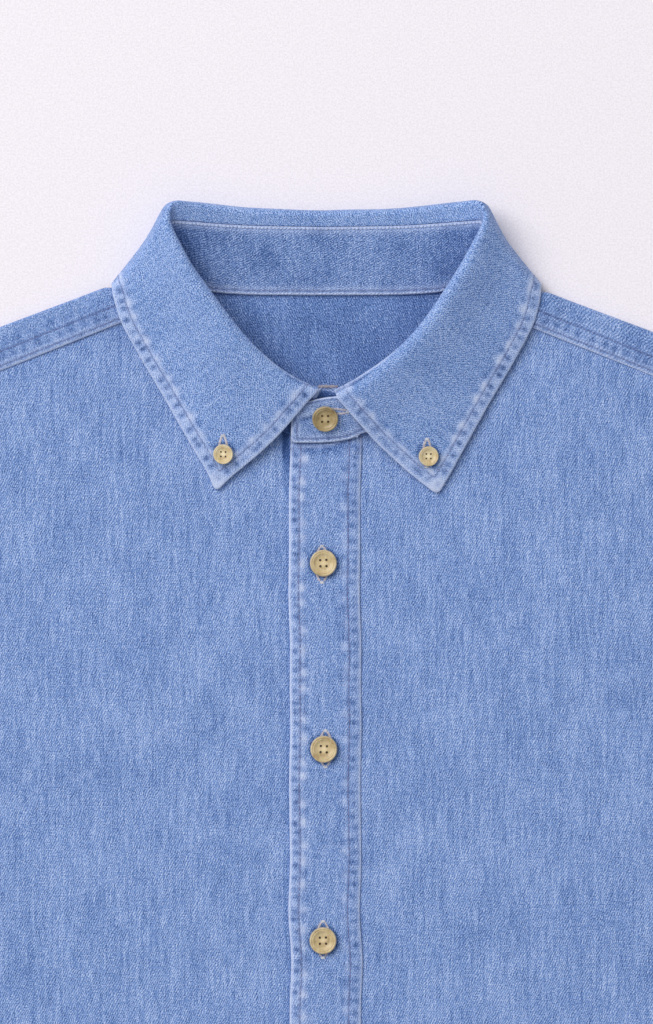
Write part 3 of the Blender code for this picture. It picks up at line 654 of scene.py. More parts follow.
@dataclass(frozen=True)
class DenimFinish:
    """Washed indigo twill: pale weft between blue warp, slubs, and wear where seams rub."""

    name: str
    deep: Colour = (0.026, 0.070, 0.230)
    blue: Colour = (0.180, 0.312, 0.655)
    pale: Colour = (0.64, 0.755, 1.0)
    worn: Colour = (0.62, 0.66, 0.83)
    twill: float = 1.0
    twill_period: float = 1.05
    twill_turn: float = 62.0
    grain: float = 1.0
    slub: float = 1.0
    mottle: float = 1.0
    shift: float = 0.0
    roughness: float = 0.88
    fineness: float = 1.45
    marked: float = 0.42

    def material(self) -> bpy.types.Material:
        """The finished material."""
        w = Wiring(self.name)
        grain = w.node("ShaderNodeUVMap", uv_map="grain").outputs[0]
        yarn = w.scaled(grain, (1 / MM, 1 / MM, 1 / MM))
        twill = self._twill(w, yarn)
        fine = w.spread(w.noise(yarn, self.fineness, 2.0, 0.8), 0.36, 0.64)
        knots = w.spread(w.noise(yarn, 0.42, 1.0), 0.3, 0.7)
        layers = [(fine, self.grain * 0.29), (knots, self.grain * 0.05)]
        # Slubs, streaks, the weft's bars and large clouds: stretch, detail, roughness and amount.
        for stretch, detail, rough, amount in (
            ((1.25, 0.10, 1), 1.0, 0.5, self.slub * 0.10), ((0.42, 0.028, 1), 2.0, 0.6, self.slub * 0.075),
            ((0.07, 1.3, 1), 1.0, 0.5, self.slub * 0.03), ((0.05, 0.03, 1), 2.0, 0.6, self.mottle * 0.035),
        ):
            layers.append((w.spread(w.noise(w.scaled(yarn, stretch), 1.0, detail, rough), 0.3, 0.7), amount))
        weave = w.sum("MULTIPLY", twill, self.twill * 0.20)
        for layer, amount in layers:
            weave = w.sum("MULTIPLY_ADD", layer, amount, weave)
        # The darkening stands for kept dye in seam hollows, and for painted shade in hollows, gaps, creases and
        # round buttons.
        wear, dye_and_shade = w.attribute("wear"), w.attribute("dye_and_shade")
        calm = w.sum("MULTIPLY_ADD", wear, -0.35, 1.0)
        value = w.sum("MULTIPLY_ADD", weave, calm, 0.5 + self.shift)
        value = w.sum("MULTIPLY_ADD", wear, self.marked, value)
        value = w.sum("MULTIPLY_ADD", dye_and_shade, -self.marked, value)
        colour = w.colours(value, ((0.0, self.deep), (0.5, self.blue), (1.0, self.pale)))
        bleached = w.sum("MULTIPLY", wear, 0.5, clamp=True)
        w.put(w.shader.inputs["Base Color"], w.mix(bleached, colour, self.worn))
        w.set(Roughness=self.roughness, Specular_IOR_Level=0.25, Sheen_Weight=0.12, Sheen_Roughness=0.5)
        height = w.sum("ADD", w.sum("MULTIPLY", twill, 0.5), w.sum("MULTIPLY", fine, 0.5))
        w.bump(height, 0.00009)
        return w.material

    def _twill(self, w: Wiring, yarn: bpy.types.NodeSocket) -> bpy.types.NodeSocket:
        """The twill's slanting ribs, broken up as yarns are uneven.

        Args:
            w: The material's wiring.
            yarn: Places in millimetres.

        Returns:
            -1 between ribs to 1 on them.
        """
        turn = math.radians(self.twill_turn)
        split = w.node("ShaderNodeSeparateXYZ")
        w.put(split.inputs[0], yarn)
        across = w.sum("MULTIPLY", split.outputs[0], math.sin(turn) / self.twill_period)
        phase = w.sum("MULTIPLY_ADD", split.outputs[1], -math.cos(turn) / self.twill_period, across)
        bend = w.noise(yarn, 0.16, 1.0)
        phase = w.sum("MULTIPLY_ADD", bend, 2.2, phase)
        ribs = w.sum("SINE", w.sum("MULTIPLY", phase, 2 * math.pi))
        broken = w.noise(yarn, 0.8, 1.0)
        return w.sum("MULTIPLY", ribs, w.sum("MULTIPLY_ADD", broken, 1.6, 0.1))


@dataclass(frozen=True)
class ThreadFinish:
    """Spun sewing thread with a twist."""

    name: str
    dark: Colour = (0.10, 0.115, 0.26)
    light: Colour = (0.28, 0.295, 0.51)

    def material(self) -> bpy.types.Material:
        """The finished material."""
        w = Wiring(self.name)
        place = w.node("ShaderNodeTexCoord").outputs["Object"]
        tone = w.noise(place, 900.0, 2.0, 0.6)
        w.put(w.shader.inputs["Base Color"], w.colours(tone, ((0.25, self.dark), (0.75, self.light))))
        w.set(Roughness=0.8, Specular_IOR_Level=0.25, Sheen_Weight=0.2)
        w.bump(w.noise(w.scaled(place, (2600, 2600, 2600)), 1.0, 1.0), 0.00005)
        return w.material


@dataclass(frozen=True)
class HornFinish:
    """Polished horn: warm, clouded, with darker and paler drifts."""

    name: str
    dark: Colour = (0.34, 0.23, 0.105)
    body: Colour = (0.55, 0.42, 0.215)
    pale: Colour = (0.74, 0.61, 0.37)
    rim: Colour = (0.60, 0.54, 0.44)

    def material(self) -> bpy.types.Material:
        """The finished material."""
        w = Wiring(self.name)
        place = w.node("ShaderNodeTexCoord").outputs["Object"]
        cloud = w.noise(w.scaled(place, (150, 260, 200), 0.5), 1.0, 3.0, 0.55)
        streak = w.noise(w.scaled(place, (900, 200, 500), 0.9), 1.0, 2.0, 0.5)
        tone = w.sum("MULTIPLY_ADD", streak, 0.35, w.sum("MULTIPLY", cloud, 0.65))
        stops = ((0.30, self.dark), (0.46, self.body), (0.70, self.pale))
        # The middle is paler, out to a third of the radius, as a painted highlight, and the rim duller, past nine
        # tenths of it.
        share = w.attribute("share")
        centre = w.sum("MULTIPLY_ADD", share, -2.4, 0.8, clamp=True)
        rim = w.sum("MULTIPLY_ADD", share, 7.0, -6.3, clamp=True)
        colour = w.mix(centre, w.colours(tone, stops), tuple(min(1.0, 1.22 * part) for part in self.pale))
        colour = w.mix(w.sum("MULTIPLY", rim, 0.7), colour, tuple(0.9 * part for part in self.rim))
        w.put(w.shader.inputs["Base Color"], colour)
        w.set(Roughness=0.42, Coat_Weight=0.12, Coat_Roughness=0.3, Subsurface_Weight=0.15,
              Subsurface_Radius=(0.001, 0.0006, 0.0003))
        w.bump(w.noise(w.scaled(place, (1500, 1500, 1500)), 1.0, 2.0), 0.00002)
        return w.material


@dataclass(frozen=True)
class FloorFinish:
    """Plain pale surface with a fine tooth."""

    name: str
    colour: Colour = (0.985, 0.93, 0.97)
    darker: Colour = (0.865, 0.815, 0.85)

    def material(self) -> bpy.types.Material:
        """The finished material."""
        w = Wiring(self.name)
        place = w.node("ShaderNodeTexCoord").outputs["Object"]
        tone = w.noise(w.scaled(place, (1100, 1100, 1100)), 1.0, 3.0, 0.75)
        w.put(w.shader.inputs["Base Color"], w.colours(tone, ((0.38, self.darker), (0.6, self.colour))))
        w.set(Roughness=0.95, Specular_IOR_Level=0.1)
        w.bump(tone, 0.0002, 0.6)
        return w.material


class Cloths(Enum):
    """The garment's denim finishes."""

    BODY = DenimFinish("denim body", grain=1.08, slub=1.0, mottle=1.8)
    LEAF = DenimFinish("denim collar", twill=0.6, grain=1.75, slub=0.5, twill_turn=128.0, mottle=1.6, shift=0.01,
                       fineness=1.72, blue=(0.181, 0.338, 0.73))
    BANDS = DenimFinish("denim bands", twill=0.9, grain=1.1, slub=0.9)
    STAND = DenimFinish("denim stand", twill=0.8, grain=1.65, slub=0.8, twill_turn=30.0, mottle=2.4, fineness=1.65,
                        shift=0.01)
    YOKE = DenimFinish("denim yoke", twill=0.8, grain=1.25, slub=0.6, twill_turn=118.0, mottle=3.0)


class Threads(Enum):
    """The sewing threads."""

    SEAM = ThreadFinish("seam thread")
    ROPE = ThreadFinish("edge thread", dark=(0.34, 0.42, 0.64), light=(0.64, 0.72, 0.94))
    FRAYED = ThreadFinish("frayed thread", dark=(0.28, 0.26, 0.31), light=(0.55, 0.49, 0.52))
    PALE = ThreadFinish("pale thread", dark=(0.45, 0.46, 0.53), light=(0.80, 0.80, 0.84))
    HOLE = ThreadFinish("buttonhole thread", dark=(0.40, 0.37, 0.42), light=(0.78, 0.72, 0.76))
    # Near-black thread under the buttons: painted shade in their holes.
    SHADED_SHANK = ThreadFinish("button thread", dark=(0.05, 0.035, 0.02), light=(0.17, 0.12, 0.075))


class Wardrobe:
    """Makes each finish once."""

    def __init__(self) -> None:
        """Starts with nothing made."""
        self.made: dict[str, bpy.types.Material] = {}

    def of(self, finish: object) -> bpy.types.Material:
        """The material of a finish, or of an Enum member that holds one."""
        finish = finish.value if isinstance(finish, Enum) else finish
        if finish.name not in self.made:
            self.made[finish.name] = finish.material()
        return self.made[finish.name]


WARDROBE = Wardrobe()


# ---------------------------------------------------------------- cloth


ORIGIN = Vector((0.0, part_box("back")[0].y + BACK_HEM_FROM_ORIGIN, 0.0))
# The lowest that cloth and stitches go above the surface, a free edge's share of the cloth's thickness, and the
# strongest wear or darkening, where darkening stands for kept dye and for painted shade.
LOWEST_CLOTH = 0.02
LOWEST_STITCH = 0.3
RIM_SHARE = 0.28
MOST_MARKED = 2.0


def placed(points: Array) -> Array:
    """Millimetres in the shirt's frame as metres in place."""
    return np.asarray(points) * MM + np.array(ORIGIN)


def make_object(name: str, mesh: bpy.types.Mesh) -> bpy.types.Object:
    """A linked object at the origin for a mesh."""
    made = bpy.data.objects.new(name, mesh)
    bpy.context.scene.collection.objects.link(made)
    return made


def mesh_of(name: str, shape: bmesh.types.BMesh) -> bpy.types.Mesh:
    """A mesh from a shape that isn't needed any more."""
    mesh = bpy.data.meshes.new(name)
    shape.to_mesh(mesh)
    shape.free()
    return mesh


def evaluated(piece: bpy.types.Object) -> bpy.types.Mesh:
    """A plain mesh of what an object's modifiers make, which are then removed."""
    graph = bpy.context.evaluated_depsgraph_get()
    mesh = bpy.data.meshes.new_from_object(piece.evaluated_get(graph))
    piece.modifiers.clear()
    piece.data = mesh
    return mesh


@dataclass
class Cloth:
    """A cloth wall on a grid of middle points, with soft edges.

    Args of the fields: middle is along by across by 3; grain is the same grid in warp and weft millimetres;
    mask says which cells exist; ring joins the last column of points across to the first.
    """

    name: str
    middle: Array
    half: float
    grain: Array
    finish: Cloths
    slot: str
    ring: bool = False
    mask: Optional[Array] = None
    edge_round: float = 1.0
    turning: bool = False
    settles: bool = True
    wear: Array = field(init=False)
    dye_and_shade: Array = field(init=False)
    lift: Array = field(init=False)
    thick: Array = field(init=False)

    def __post_init__(self) -> None:
        """Starts with clean cloth."""
        shape = self.middle.shape[:2]
        if self.settles:
            self.middle = CUT.settled(self.middle)
        self.wear, self.dye_and_shade, self.lift = np.zeros(shape), np.zeros(shape), np.zeros(shape)
        self.thick = np.full(shape, self.half)
        if self.mask is None:
            self.mask = np.ones((shape[0] - 1, shape[1] - (not self.ring)), bool)

    @property
    def places(self) -> tuple[Array, Array]:
        """Where the middle points are, seen from above: x and y."""
        return self.middle[..., 0], self.middle[..., 1]

    def normals(self) -> Array:
        """The outer side's normals."""
        along = np.gradient(self.middle, axis=0)
        if self.ring:
            wrapped = np.concatenate([self.middle[:, -1:], self.middle, self.middle[:, :1]], axis=1)
            across = (wrapped[:, 2:] - wrapped[:, :-2]) / 2
        else:
            across = np.gradient(self.middle, axis=1)
        return unit(np.cross(along, across))

    def seen(self) -> tuple[Array, Array]:
        """The points and normals of the face that is sewn through: the outer one, or the one that looks up."""
        normals = self.normals()
        if self.turning:
            normals = normals * np.where(normals[..., 2:] < 0, -1.0, 1.0)
        points = self.middle + normals * (self.thick + self.lift)[..., None]
        return points.reshape(-1, 3), normals.reshape(-1, 3)

    def stain(self, wear: Array = 0.0, dye_and_shade: Array = 0.0, lift: Array = 0.0) -> None:
        """Marks the cloth where it isn't marked more strongly already."""
        self.wear = np.maximum(self.wear, wear)
        self.dye_and_shade = np.maximum(self.dye_and_shade, dye_and_shade)
        self.lift = self.lift + lift

    def sew(self, line: Array, wear: SeamWear, weight: Optional[Array] = None) -> None:
        """Marks the cloth beside a sewn line.

        Args:
            line: The sewn edge.
            wear: What the row has done to the cloth.
            weight: How strongly, for each point.
        """
        weight = 1.0 if weight is None else weight
        self.stain(*(mark * weight for mark in wear.marks(*near(self.middle, line))))

    def mark(self, line: Array, width: float, wear: float = 0.0, dye_and_shade: float = 0.0, lift: float = 0.0,
             fade: Optional[Callable] = None) -> None:
        """Marks a soft stripe along a line.

        Args:
            line: The stripe's middle.
            width: Its half width.
            wear: Wear in its middle.
            dye_and_shade: Darkening in its middle, for kept dye and for painted shade.
            lift: Relief in its middle, in millimetres.
            fade: Takes the length along the line to a share of the marks.
        """
        distance, along = near(self.middle, line)
        strength = bell(distance, width) * (1.0 if fade is None else fade(along))
        self.stain(wear * strength, dye_and_shade * strength, lift * strength)

    def round_corner(self, i: int, j: int, radius: float) -> None:
        """Rounds a corner of the grid.

        Args:
            i: 0 or -1, the corner's end along.
            j: 0 or -1, its end across.
            radius: How far from the corner the rounding starts, in millimetres.
        """
        corner = self.middle[i, j].copy()
        edges = [self.middle[:, j] if i == 0 else self.middle[::-1, j],
                 self.middle[i] if j == 0 else self.middle[i, ::-1]]
        axes = []
        for line in edges:
            reach = int(np.argmax(np.linalg.norm(line - corner, axis=1) > 1.5 * radius))
            axes.append(unit(line[reach] - corner))
        plane = np.stack(axes, axis=1)
        inside = np.linalg.lstsq(plane, (self.middle - corner).reshape(-1, 3).T, rcond=None)[0]
        inside = inside.T.reshape(*self.middle.shape[:2], 2)
        close = np.linalg.norm(self.middle - corner, axis=-1) < 3 * radius
        u, v = np.clip(1 - inside[..., 0] / radius, 0, 1), np.clip(1 - inside[..., 1] / radius, 0, 1)
        squeezed = np.stack([u * np.sqrt(1 - v * v / 2), v * np.sqrt(1 - u * u / 2)], axis=-1)
        move = (np.stack([u, v], axis=-1) - squeezed) * radius * close[..., None]
        self.middle = self.middle + move @ plane.T

    def droop(self, line: Array, drop: float, reach: float) -> None:
        """Lets the cloth down beside a sewn edge, where it is held to what is under it.

        Args:
            line: The edge.
            drop: How far down.
            reach: How far in.
        """
        distance, _ = near(self.middle, line)
        self.middle[..., 2] -= drop * bell(distance, reach)

    def press(self, x: float, y: float, radius: float) -> None:
        """Paints a shadow ring on the cloth round a button, and lets the cloth sink under it, where it is sewn down
        tight.
        """
        away = np.hypot(self.middle[..., 0] - x, self.middle[..., 1] - y) - radius
        height = self.middle[..., 2]
        upper = height >= height[np.abs(away) < 3].mean() - 1.5
        ring = bell(away - 0.35, 0.75) * upper
        self.stain(dye_and_shade=ring, lift=-0.25 * (1 - ramp((away + 0.5) / 2.5)) * upper)

    def faces(self) -> Array:
        """Index quads of the outer face, counter-clockwise seen from outside."""
        columns = self.middle.shape[1]
        i, j = np.nonzero(self.mask)
        k = (j + 1) % columns
        return np.stack([i * columns + j, (i + 1) * columns + j, (i + 1) * columns + k, i * columns + k], axis=1)

    def borders(self, faces: Array) -> Array:
        """Directed edges that only one face has."""
        ends = np.concatenate([faces[:, [a, (a + 1) % 4]] for a in range(4)])
        total = self.middle.shape[0] * self.middle.shape[1]
        keys = ends[:, 0] * total + ends[:, 1]
        back = ends[:, 1] * total + ends[:, 0]
        return ends[~np.isin(keys, back)]

    def build(self) -> bpy.types.Object:
        """The finished mesh: outer face, inner face and rims, with its grain and its wear."""
        faces = self.faces()
        borders = self.borders(faces)
        points = self.middle.reshape(-1, 3)
        normals = self.normals().reshape(-1, 3)
        self._soften(points, borders)
        thick = self.thick.reshape(-1, 1)
        lift = self.lift.reshape(-1, 1)
        count = len(points)
        outer = points + normals * (thick + lift)
        inner = points - normals * (thick + lift)
        rims = np.stack([borders[:, 1], borders[:, 0], borders[:, 0] + count, borders[:, 1] + count], axis=1)
        quads = np.concatenate([faces, faces[:, ::-1] + count, rims])
        used, index = np.unique(quads, return_inverse=True)
        mesh = bpy.data.meshes.new(self.name)
        points = np.concatenate([outer, inner])[used]
        points[:, 2] = np.maximum(points[:, 2], LOWEST_CLOTH)
        mesh.from_pydata(placed(points), [], index.reshape(quads.shape).tolist())
        self._dress(mesh, quads, used, count)
        made = make_object(self.name + "_cloth", mesh)
        LOG.info("%s: %d faces, %.0f square cm of cloth", self.name, len(quads), self.area(faces) / 100)
        return made

    def area(self, faces: Array) -> float:
        """The cloth's own area in square millimetres."""
        corners = self.middle.reshape(-1, 3)[faces]
        one = np.cross(corners[:, 1] - corners[:, 0], corners[:, 2] - corners[:, 0])
        two = np.cross(corners[:, 2] - corners[:, 0], corners[:, 3] - corners[:, 0])
        return float((np.linalg.norm(one, axis=1) + np.linalg.norm(two, axis=1)).sum() / 2)

    def _soften(self, points: Array, borders: Array) -> None:
        """Rounds the wall off at its free edges.

        Args:
            points: The middle points in one list.
            borders: The free edges.
        """
        tree = tree_of(points[borders[:, 0]])
        distance = np.array([tree.find(point)[2] for point in points]).reshape(self.thick.shape)
        inside = np.clip(distance / self.edge_round, 0, 1)
        self.thick = self.thick * (RIM_SHARE + (1 - RIM_SHARE) * np.sqrt(1 - (1 - inside) ** 2))

    def _dress(self, mesh: bpy.types.Mesh, quads: Array, used: Array, count: int) -> None:
        """Gives a mesh its grain, its wear and its finish.

        Args:
            mesh: The mesh.
            quads: Its faces in the grid's own numbers.
            used: The grid's numbers of its points.
            count: How many points one side of the grid has.
        """
        columns = self.middle.shape[1]
        grain = self.grain * MM
        corner = quads % count
        column = corner % columns
        uv = grain[corner // columns, column]
        if self.ring:
            wraps = (column.max(axis=1) - column.min(axis=1)) > 1
            ends = wraps[:, None] & (column == 0)
            uv[ends] = grain[corner[ends] // columns, columns]
        layer = mesh.uv_layers.new(name="grain")
        layer.data.foreach_set("uv", uv.astype(np.float32).ravel())
        for name, values in (("wear", self.wear), ("dye_and_shade", self.dye_and_shade)):
            kept = mesh.attributes.new(name, "FLOAT", "POINT")
            kept.data.foreach_set("value", np.clip(values, 0, MOST_MARKED).ravel()[used % count].astype(np.float32))
        mesh.materials.append(WARDROBE.of(self.finish))
        mesh.shade_smooth()


# ---------------------------------------------------------------- stitches


class StitchTree:
    """The node tree that sets one stitch on every point of a path."""

    _tree: Optional[bpy.types.NodeTree] = None
    _names = (("Length", 2.4), ("Width", 0.4), ("Height", 0.34), ("Unevenness", 0.1))

    @classmethod
    def tree(cls) -> bpy.types.NodeTree:
        """The tree, built once."""
        if cls._tree is None:
            cls._tree = cls._build()
        return cls._tree

    @classmethod
    def _build(cls) -> bpy.types.NodeTree:
        """Builds the tree: path points in, stitches out."""
        tree = bpy.data.node_groups.new("stitches along a path", "GeometryNodeTree")
        sockets = tree.interface
        sockets.new_socket("Geometry", in_out="INPUT", socket_type="NodeSocketGeometry")
        for name, default in cls._names:
            made = sockets.new_socket(name, in_out="INPUT", socket_type="NodeSocketFloat")
            made.default_value = default
        sockets.new_socket("Seed", in_out="INPUT", socket_type="NodeSocketInt")
        sockets.new_socket("Thread", in_out="INPUT", socket_type="NodeSocketMaterial")
        sockets.new_socket("Geometry", in_out="OUTPUT", socket_type="NodeSocketGeometry")
        node, link = tree.nodes.new, tree.links.new
        start, end = node("NodeGroupInput"), node("NodeGroupOutput")
        ball = node("GeometryNodeMeshUVSphere")
        for name, value in (("Segments", 6), ("Rings", 4), ("Radius", 0.5)):
            ball.inputs[name].default_value = value
        size = node("ShaderNodeCombineXYZ")
        for i, name in enumerate(("Length", "Width", "Height")):
            link(start.outputs[name], size.inputs[i])
        shape = node("GeometryNodeTransform")
        link(ball.outputs["Mesh"], shape.inputs["Geometry"])
        link(size.outputs[0], shape.inputs["Scale"])
        turned = cls._turn(tree)
        uneven = cls._uneven(tree, start)
        spread = node("GeometryNodeInstanceOnPoints")
        link(start.outputs["Geometry"], spread.inputs["Points"])
        link(shape.outputs["Geometry"], spread.inputs["Instance"])
        link(turned, spread.inputs["Rotation"])
        link(uneven, spread.inputs["Scale"])
        real = node("GeometryNodeRealizeInstances")
        smooth = node("GeometryNodeSetShadeSmooth")
        finish = node("GeometryNodeSetMaterial")
        link(spread.outputs[0], real.inputs[0])
        link(real.outputs[0], smooth.inputs[0])
        link(smooth.outputs[0], finish.inputs["Geometry"])
        link(start.outputs["Thread"], finish.inputs["Material"])
        link(finish.outputs[0], end.inputs[0])
        return tree

    @staticmethod
    def _turn(tree: bpy.types.NodeTree) -> bpy.types.NodeSocket:
        """Turns a stitch to run along the row and lie on the cloth."""
        rotation = None
        for axis, name, pivot in (("X", "run", "AUTO"), ("Z", "up", "X")):
            read = tree.nodes.new("GeometryNodeInputNamedAttribute")
            read.data_type = "FLOAT_VECTOR"
            read.inputs["Name"].default_value = name
            align = tree.nodes.new("FunctionNodeAlignRotationToVector")
            align.axis = axis
            align.pivot_axis = pivot
            tree.links.new(read.outputs["Attribute"], align.inputs["Vector"])
            if rotation is not None:
                tree.links.new(rotation, align.inputs["Rotation"])
            rotation = align.outputs[0]
        return rotation

    @staticmethod
    def _uneven(tree: bpy.types.NodeTree, start: bpy.types.Node) -> bpy.types.NodeSocket:
        """A random scale for each stitch, around 1."""
        low, high = tree.nodes.new("ShaderNodeMath"), tree.nodes.new("ShaderNodeMath")
        low.operation, high.operation = "SUBTRACT", "ADD"
        for made in (low, high):
            made.inputs[0].default_value = 1.0
            tree.links.new(start.outputs["Unevenness"], made.inputs[1])
        pick = tree.nodes.new("FunctionNodeRandomValue")
        pick.data_type = "FLOAT_VECTOR"
        tree.links.new(low.outputs[0], pick.inputs["Min"])
        tree.links.new(high.outputs[0], pick.inputs["Max"])
        tree.links.new(start.outputs["Seed"], pick.inputs["Seed"])
        return pick.outputs["Value"]


@dataclass
class Row:
    """Places of stitches, with the way each runs and its up, in millimetres."""

    points: Array
    runs: Array
    ups: Array

    @staticmethod
    def empty() -> "Row":
        """A row with no stitches."""
        return Row(*(np.zeros((0, 3)) for _ in range(3)))

    @staticmethod
    def together(rows: Sequence["Row"]) -> "Row":
        """Rows sewn with one thread and one stitch size."""
        return Row(*(np.concatenate([getattr(row, key) for row in rows]) for key in ("points", "runs", "ups")))


@dataclass(frozen=True)
class Stitches:
    """One kind of stitch, in millimetres."""

    thread: Threads = Threads.SEAM
    pitch: float = 2.9
    length: float = 2.35
    width: float = 0.42
    height: float = 0.42
    unevenness: float = 0.12
    seed: int = 3
    longest_gap: float = 6.0
    proud: float = 0.04

    def row_beside(self, cloth: Cloth, line: Array, inset: float, keep: Optional[Callable] = None) -> Row:
        """Stitches on a cloth's outer face, at an inset from an edge.

        Args:
            cloth: The cloth.
            line: The edge.
            inset: From the edge to the row.
            keep: Says of points whether they are sewn.

        Returns:
            The row.
        """
        top, normals = cloth.seen()
        used = np.unique(cloth.faces())
        tree = tree_of(top[used], used)
        length = run_lengths(line)[-1]
        dense = respace(line, np.linspace(0, 1, max(8, int(length / 0.5))))
        runs = unit(np.gradient(dense, axis=0))
        ups = normals[[tree.find(point)[1] for point in dense]]
        inward = unit(np.cross(ups, runs))
        away = [np.array([tree.find(p)[2] for p in dense + inward * inset * side]) for side in (1, -1)]
        shifted = dense + inward * inset * np.where(away[0] < away[1], 1, -1)[:, None]
        distance, _ = near(shifted, line)
        kept = shifted[distance > inset * 0.985 - 0.05]
        if keep is not None:
            kept = kept[keep(kept)]
        if len(kept) < 3:
            return Row.empty()
        return self._settle(kept, tree, normals)

    def _settle(self, path: Array, tree: KDTree, normals: Array) -> Row:
        """Spaces stitches along a path and lays them on the cloth.

        Args:
            path: The path.
            tree: Finds the cloth's points.
            normals: Their normals.

        Returns:
            The row.
        """
        jumps = np.linalg.norm(np.diff(path, axis=0), axis=1) > self.longest_gap
        rows = []
        for part in np.split(path, np.nonzero(jumps)[0] + 1):
            length = run_lengths(part)[-1] if len(part) > 1 else 0.0
            if length < self.pitch:
                continue
            count = max(2, round(length / self.pitch))
            spots = respace(part, (np.arange(count) + 0.5) / count)
            found = [tree.find(p) for p in spots]
            base = np.array([hit[0] for hit in found])
            ups = normals[[hit[1] for hit in found]]
            spots = spots - ups * ((spots - base) * ups).sum(axis=1, keepdims=True)
            runs = unit(np.gradient(spots, axis=0))
            rows.append(Row(spots + ups * self.proud, runs, ups))
        return Row.together(rows) if rows else Row.empty()

    def sew(self, name: str, row: Row) -> bpy.types.Object:
        """Makes the stitches of a row as one plain mesh.

        Args:
            name: The piece's name.
            row: Where the stitches go.

        Returns:
            The piece, riding on the shirt.
        """
        above = row.points[:, 2] > LOWEST_STITCH
        row = Row(row.points[above], row.runs[above], row.ups[above])
        mesh = bpy.data.meshes.new(name)
        mesh.from_pydata(placed(row.points).tolist(), [], [])
        for key, values in (("run", row.runs), ("up", row.ups)):
            kept = mesh.attributes.new(key, "FLOAT_VECTOR", "POINT")
            kept.data.foreach_set("vector", values.astype(np.float32).ravel())
        made = make_object(name, mesh)
        modifier = made.modifiers.new("stitches", "NODES")
        modifier.node_group = StitchTree.tree()
        values = {
            "Length": self.length * MM, "Width": self.width * MM, "Height": self.height * MM,
            "Unevenness": self.unevenness, "Seed": self.seed, "Thread": WARDROBE.of(self.thread),
        }
        for item in StitchTree.tree().interface.items_tree:
            if item.in_out == "INPUT" and item.name in values:
                modifier[item.identifier] = values[item.name]
        evaluated(made)
        bpy.data.meshes.remove(mesh)
        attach(made, "root")
        LOG.info("%s: %d stitches", name, len(row.points))
        return made


@dataclass(frozen=True)
class Seams:
    """Rows sewn with one thread: each a line, the row's inset from it and, for some, which points are sewn."""

    kind: Stitches
    rows: Sequence[tuple]
    name: str = ""

    def sewn(self, cloth: Cloth) -> bpy.types.Object:
        """The thread, sewn on a cloth whose mesh is built."""
        rows = [self.kind.row_beside(cloth, *row) for row in self.rows]
        return self.kind.sew(f"thread_{self.name or cloth.name}", Row.together(rows))


def finish(cloth: Cloth, flat: tuple[float, float], area: float, rests_on: Sequence[str], *seams: Seams) -> None:
    """Builds a piece of cloth and its thread, and hides the solid it stands for.

    Args:
        cloth: The cloth, with the name of the solid it stands for.
        flat: The size that it was cut to, in metres. Not used.
        area: The cut's area, in square metres. Not used.
        rests_on: What it lies on.
        seams: What is sewn on it.
    """
    piece = cloth.build()
    threads = [seam.sewn(cloth) for seam in seams]
    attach(piece, "root")
    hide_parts(cloth.name)
    list(rests_on)


# ---------------------------------------------------------------- body panels


@dataclass
class Panel:
    """A front or the back, ruled from its top edge to its hem."""

    step: float = 4.4
    unders: float = 6.0
    length: float = 690.0

    def front_tops(self, start: float) -> Array:
        """The front's top edge: neckline, then under the yoke, then the armhole.

        Args:
            start: The distance from the centre at which it starts.

        Returns:
            Places, with x and y.
        """
        neck = ease(range(LAST + 1), COLLAR[:, 0, :2], np.arange(LAST, 5.99, -0.12))
        neck = neck[neck[:, 0] > start + 3.0] + np.array((-1.5, 1.5))
        end = CUT.armhole_x(CUT.front_seam_y(CUT.shoulder[0]))
        x = CUT.neck_x + (end - CUT.neck_x) * np.linspace(0.05, 0.97, int(135 / self.step))
        under = np.stack([x, CUT.front_seam_y(x) + self.unders], axis=1)
        armhole = CUT.armhole_points(np.linspace(0.067, 1.0, int(240 / self.step)))
        return np.concatenate([[(start, CUT.front_neck)], neck, under, armhole])

    def ruled(
        self, tops: Array, hem_from: float, centre: float, side: float, level: Callable,
    ) -> tuple[Array, Array]:
        """A grid from the top edge down to the hem.

        Args:
            tops: The top edge.
            hem_from: Where the hem starts, from the centre.
            centre: The hem's height at the centre.
            side: 1 for the wearer's left and -1 for the right.
            level: Gives the middle's height.

        Returns:
            Middle points, and their grain.
        """
        lengths = run_lengths(tops)
        share = lengths / lengths[-1]
        foot_x = hem_from + (CUT.hem_side[0] - hem_from) * share
        feet = np.stack([foot_x, CUT.hem_y(foot_x, centre)], axis=1)
        rows = graded(self.length, self.step, last=9.0, fine=1.2)
        flat = tops[:, None] + (feet - tops)[:, None] * rows[None, :, None]
        x, y = flat[..., 0], flat[..., 1]
        x = x + np.where(y < CUT.underarm[1], CUT.waist(y) * share[:, None] ** 8, 0.0)
        x = x * side
        middle = np.stack([x, y, level(x, y)], axis=-1)
        if side > 0:
            middle = middle[::-1]
        return middle, middle[..., :2].copy()


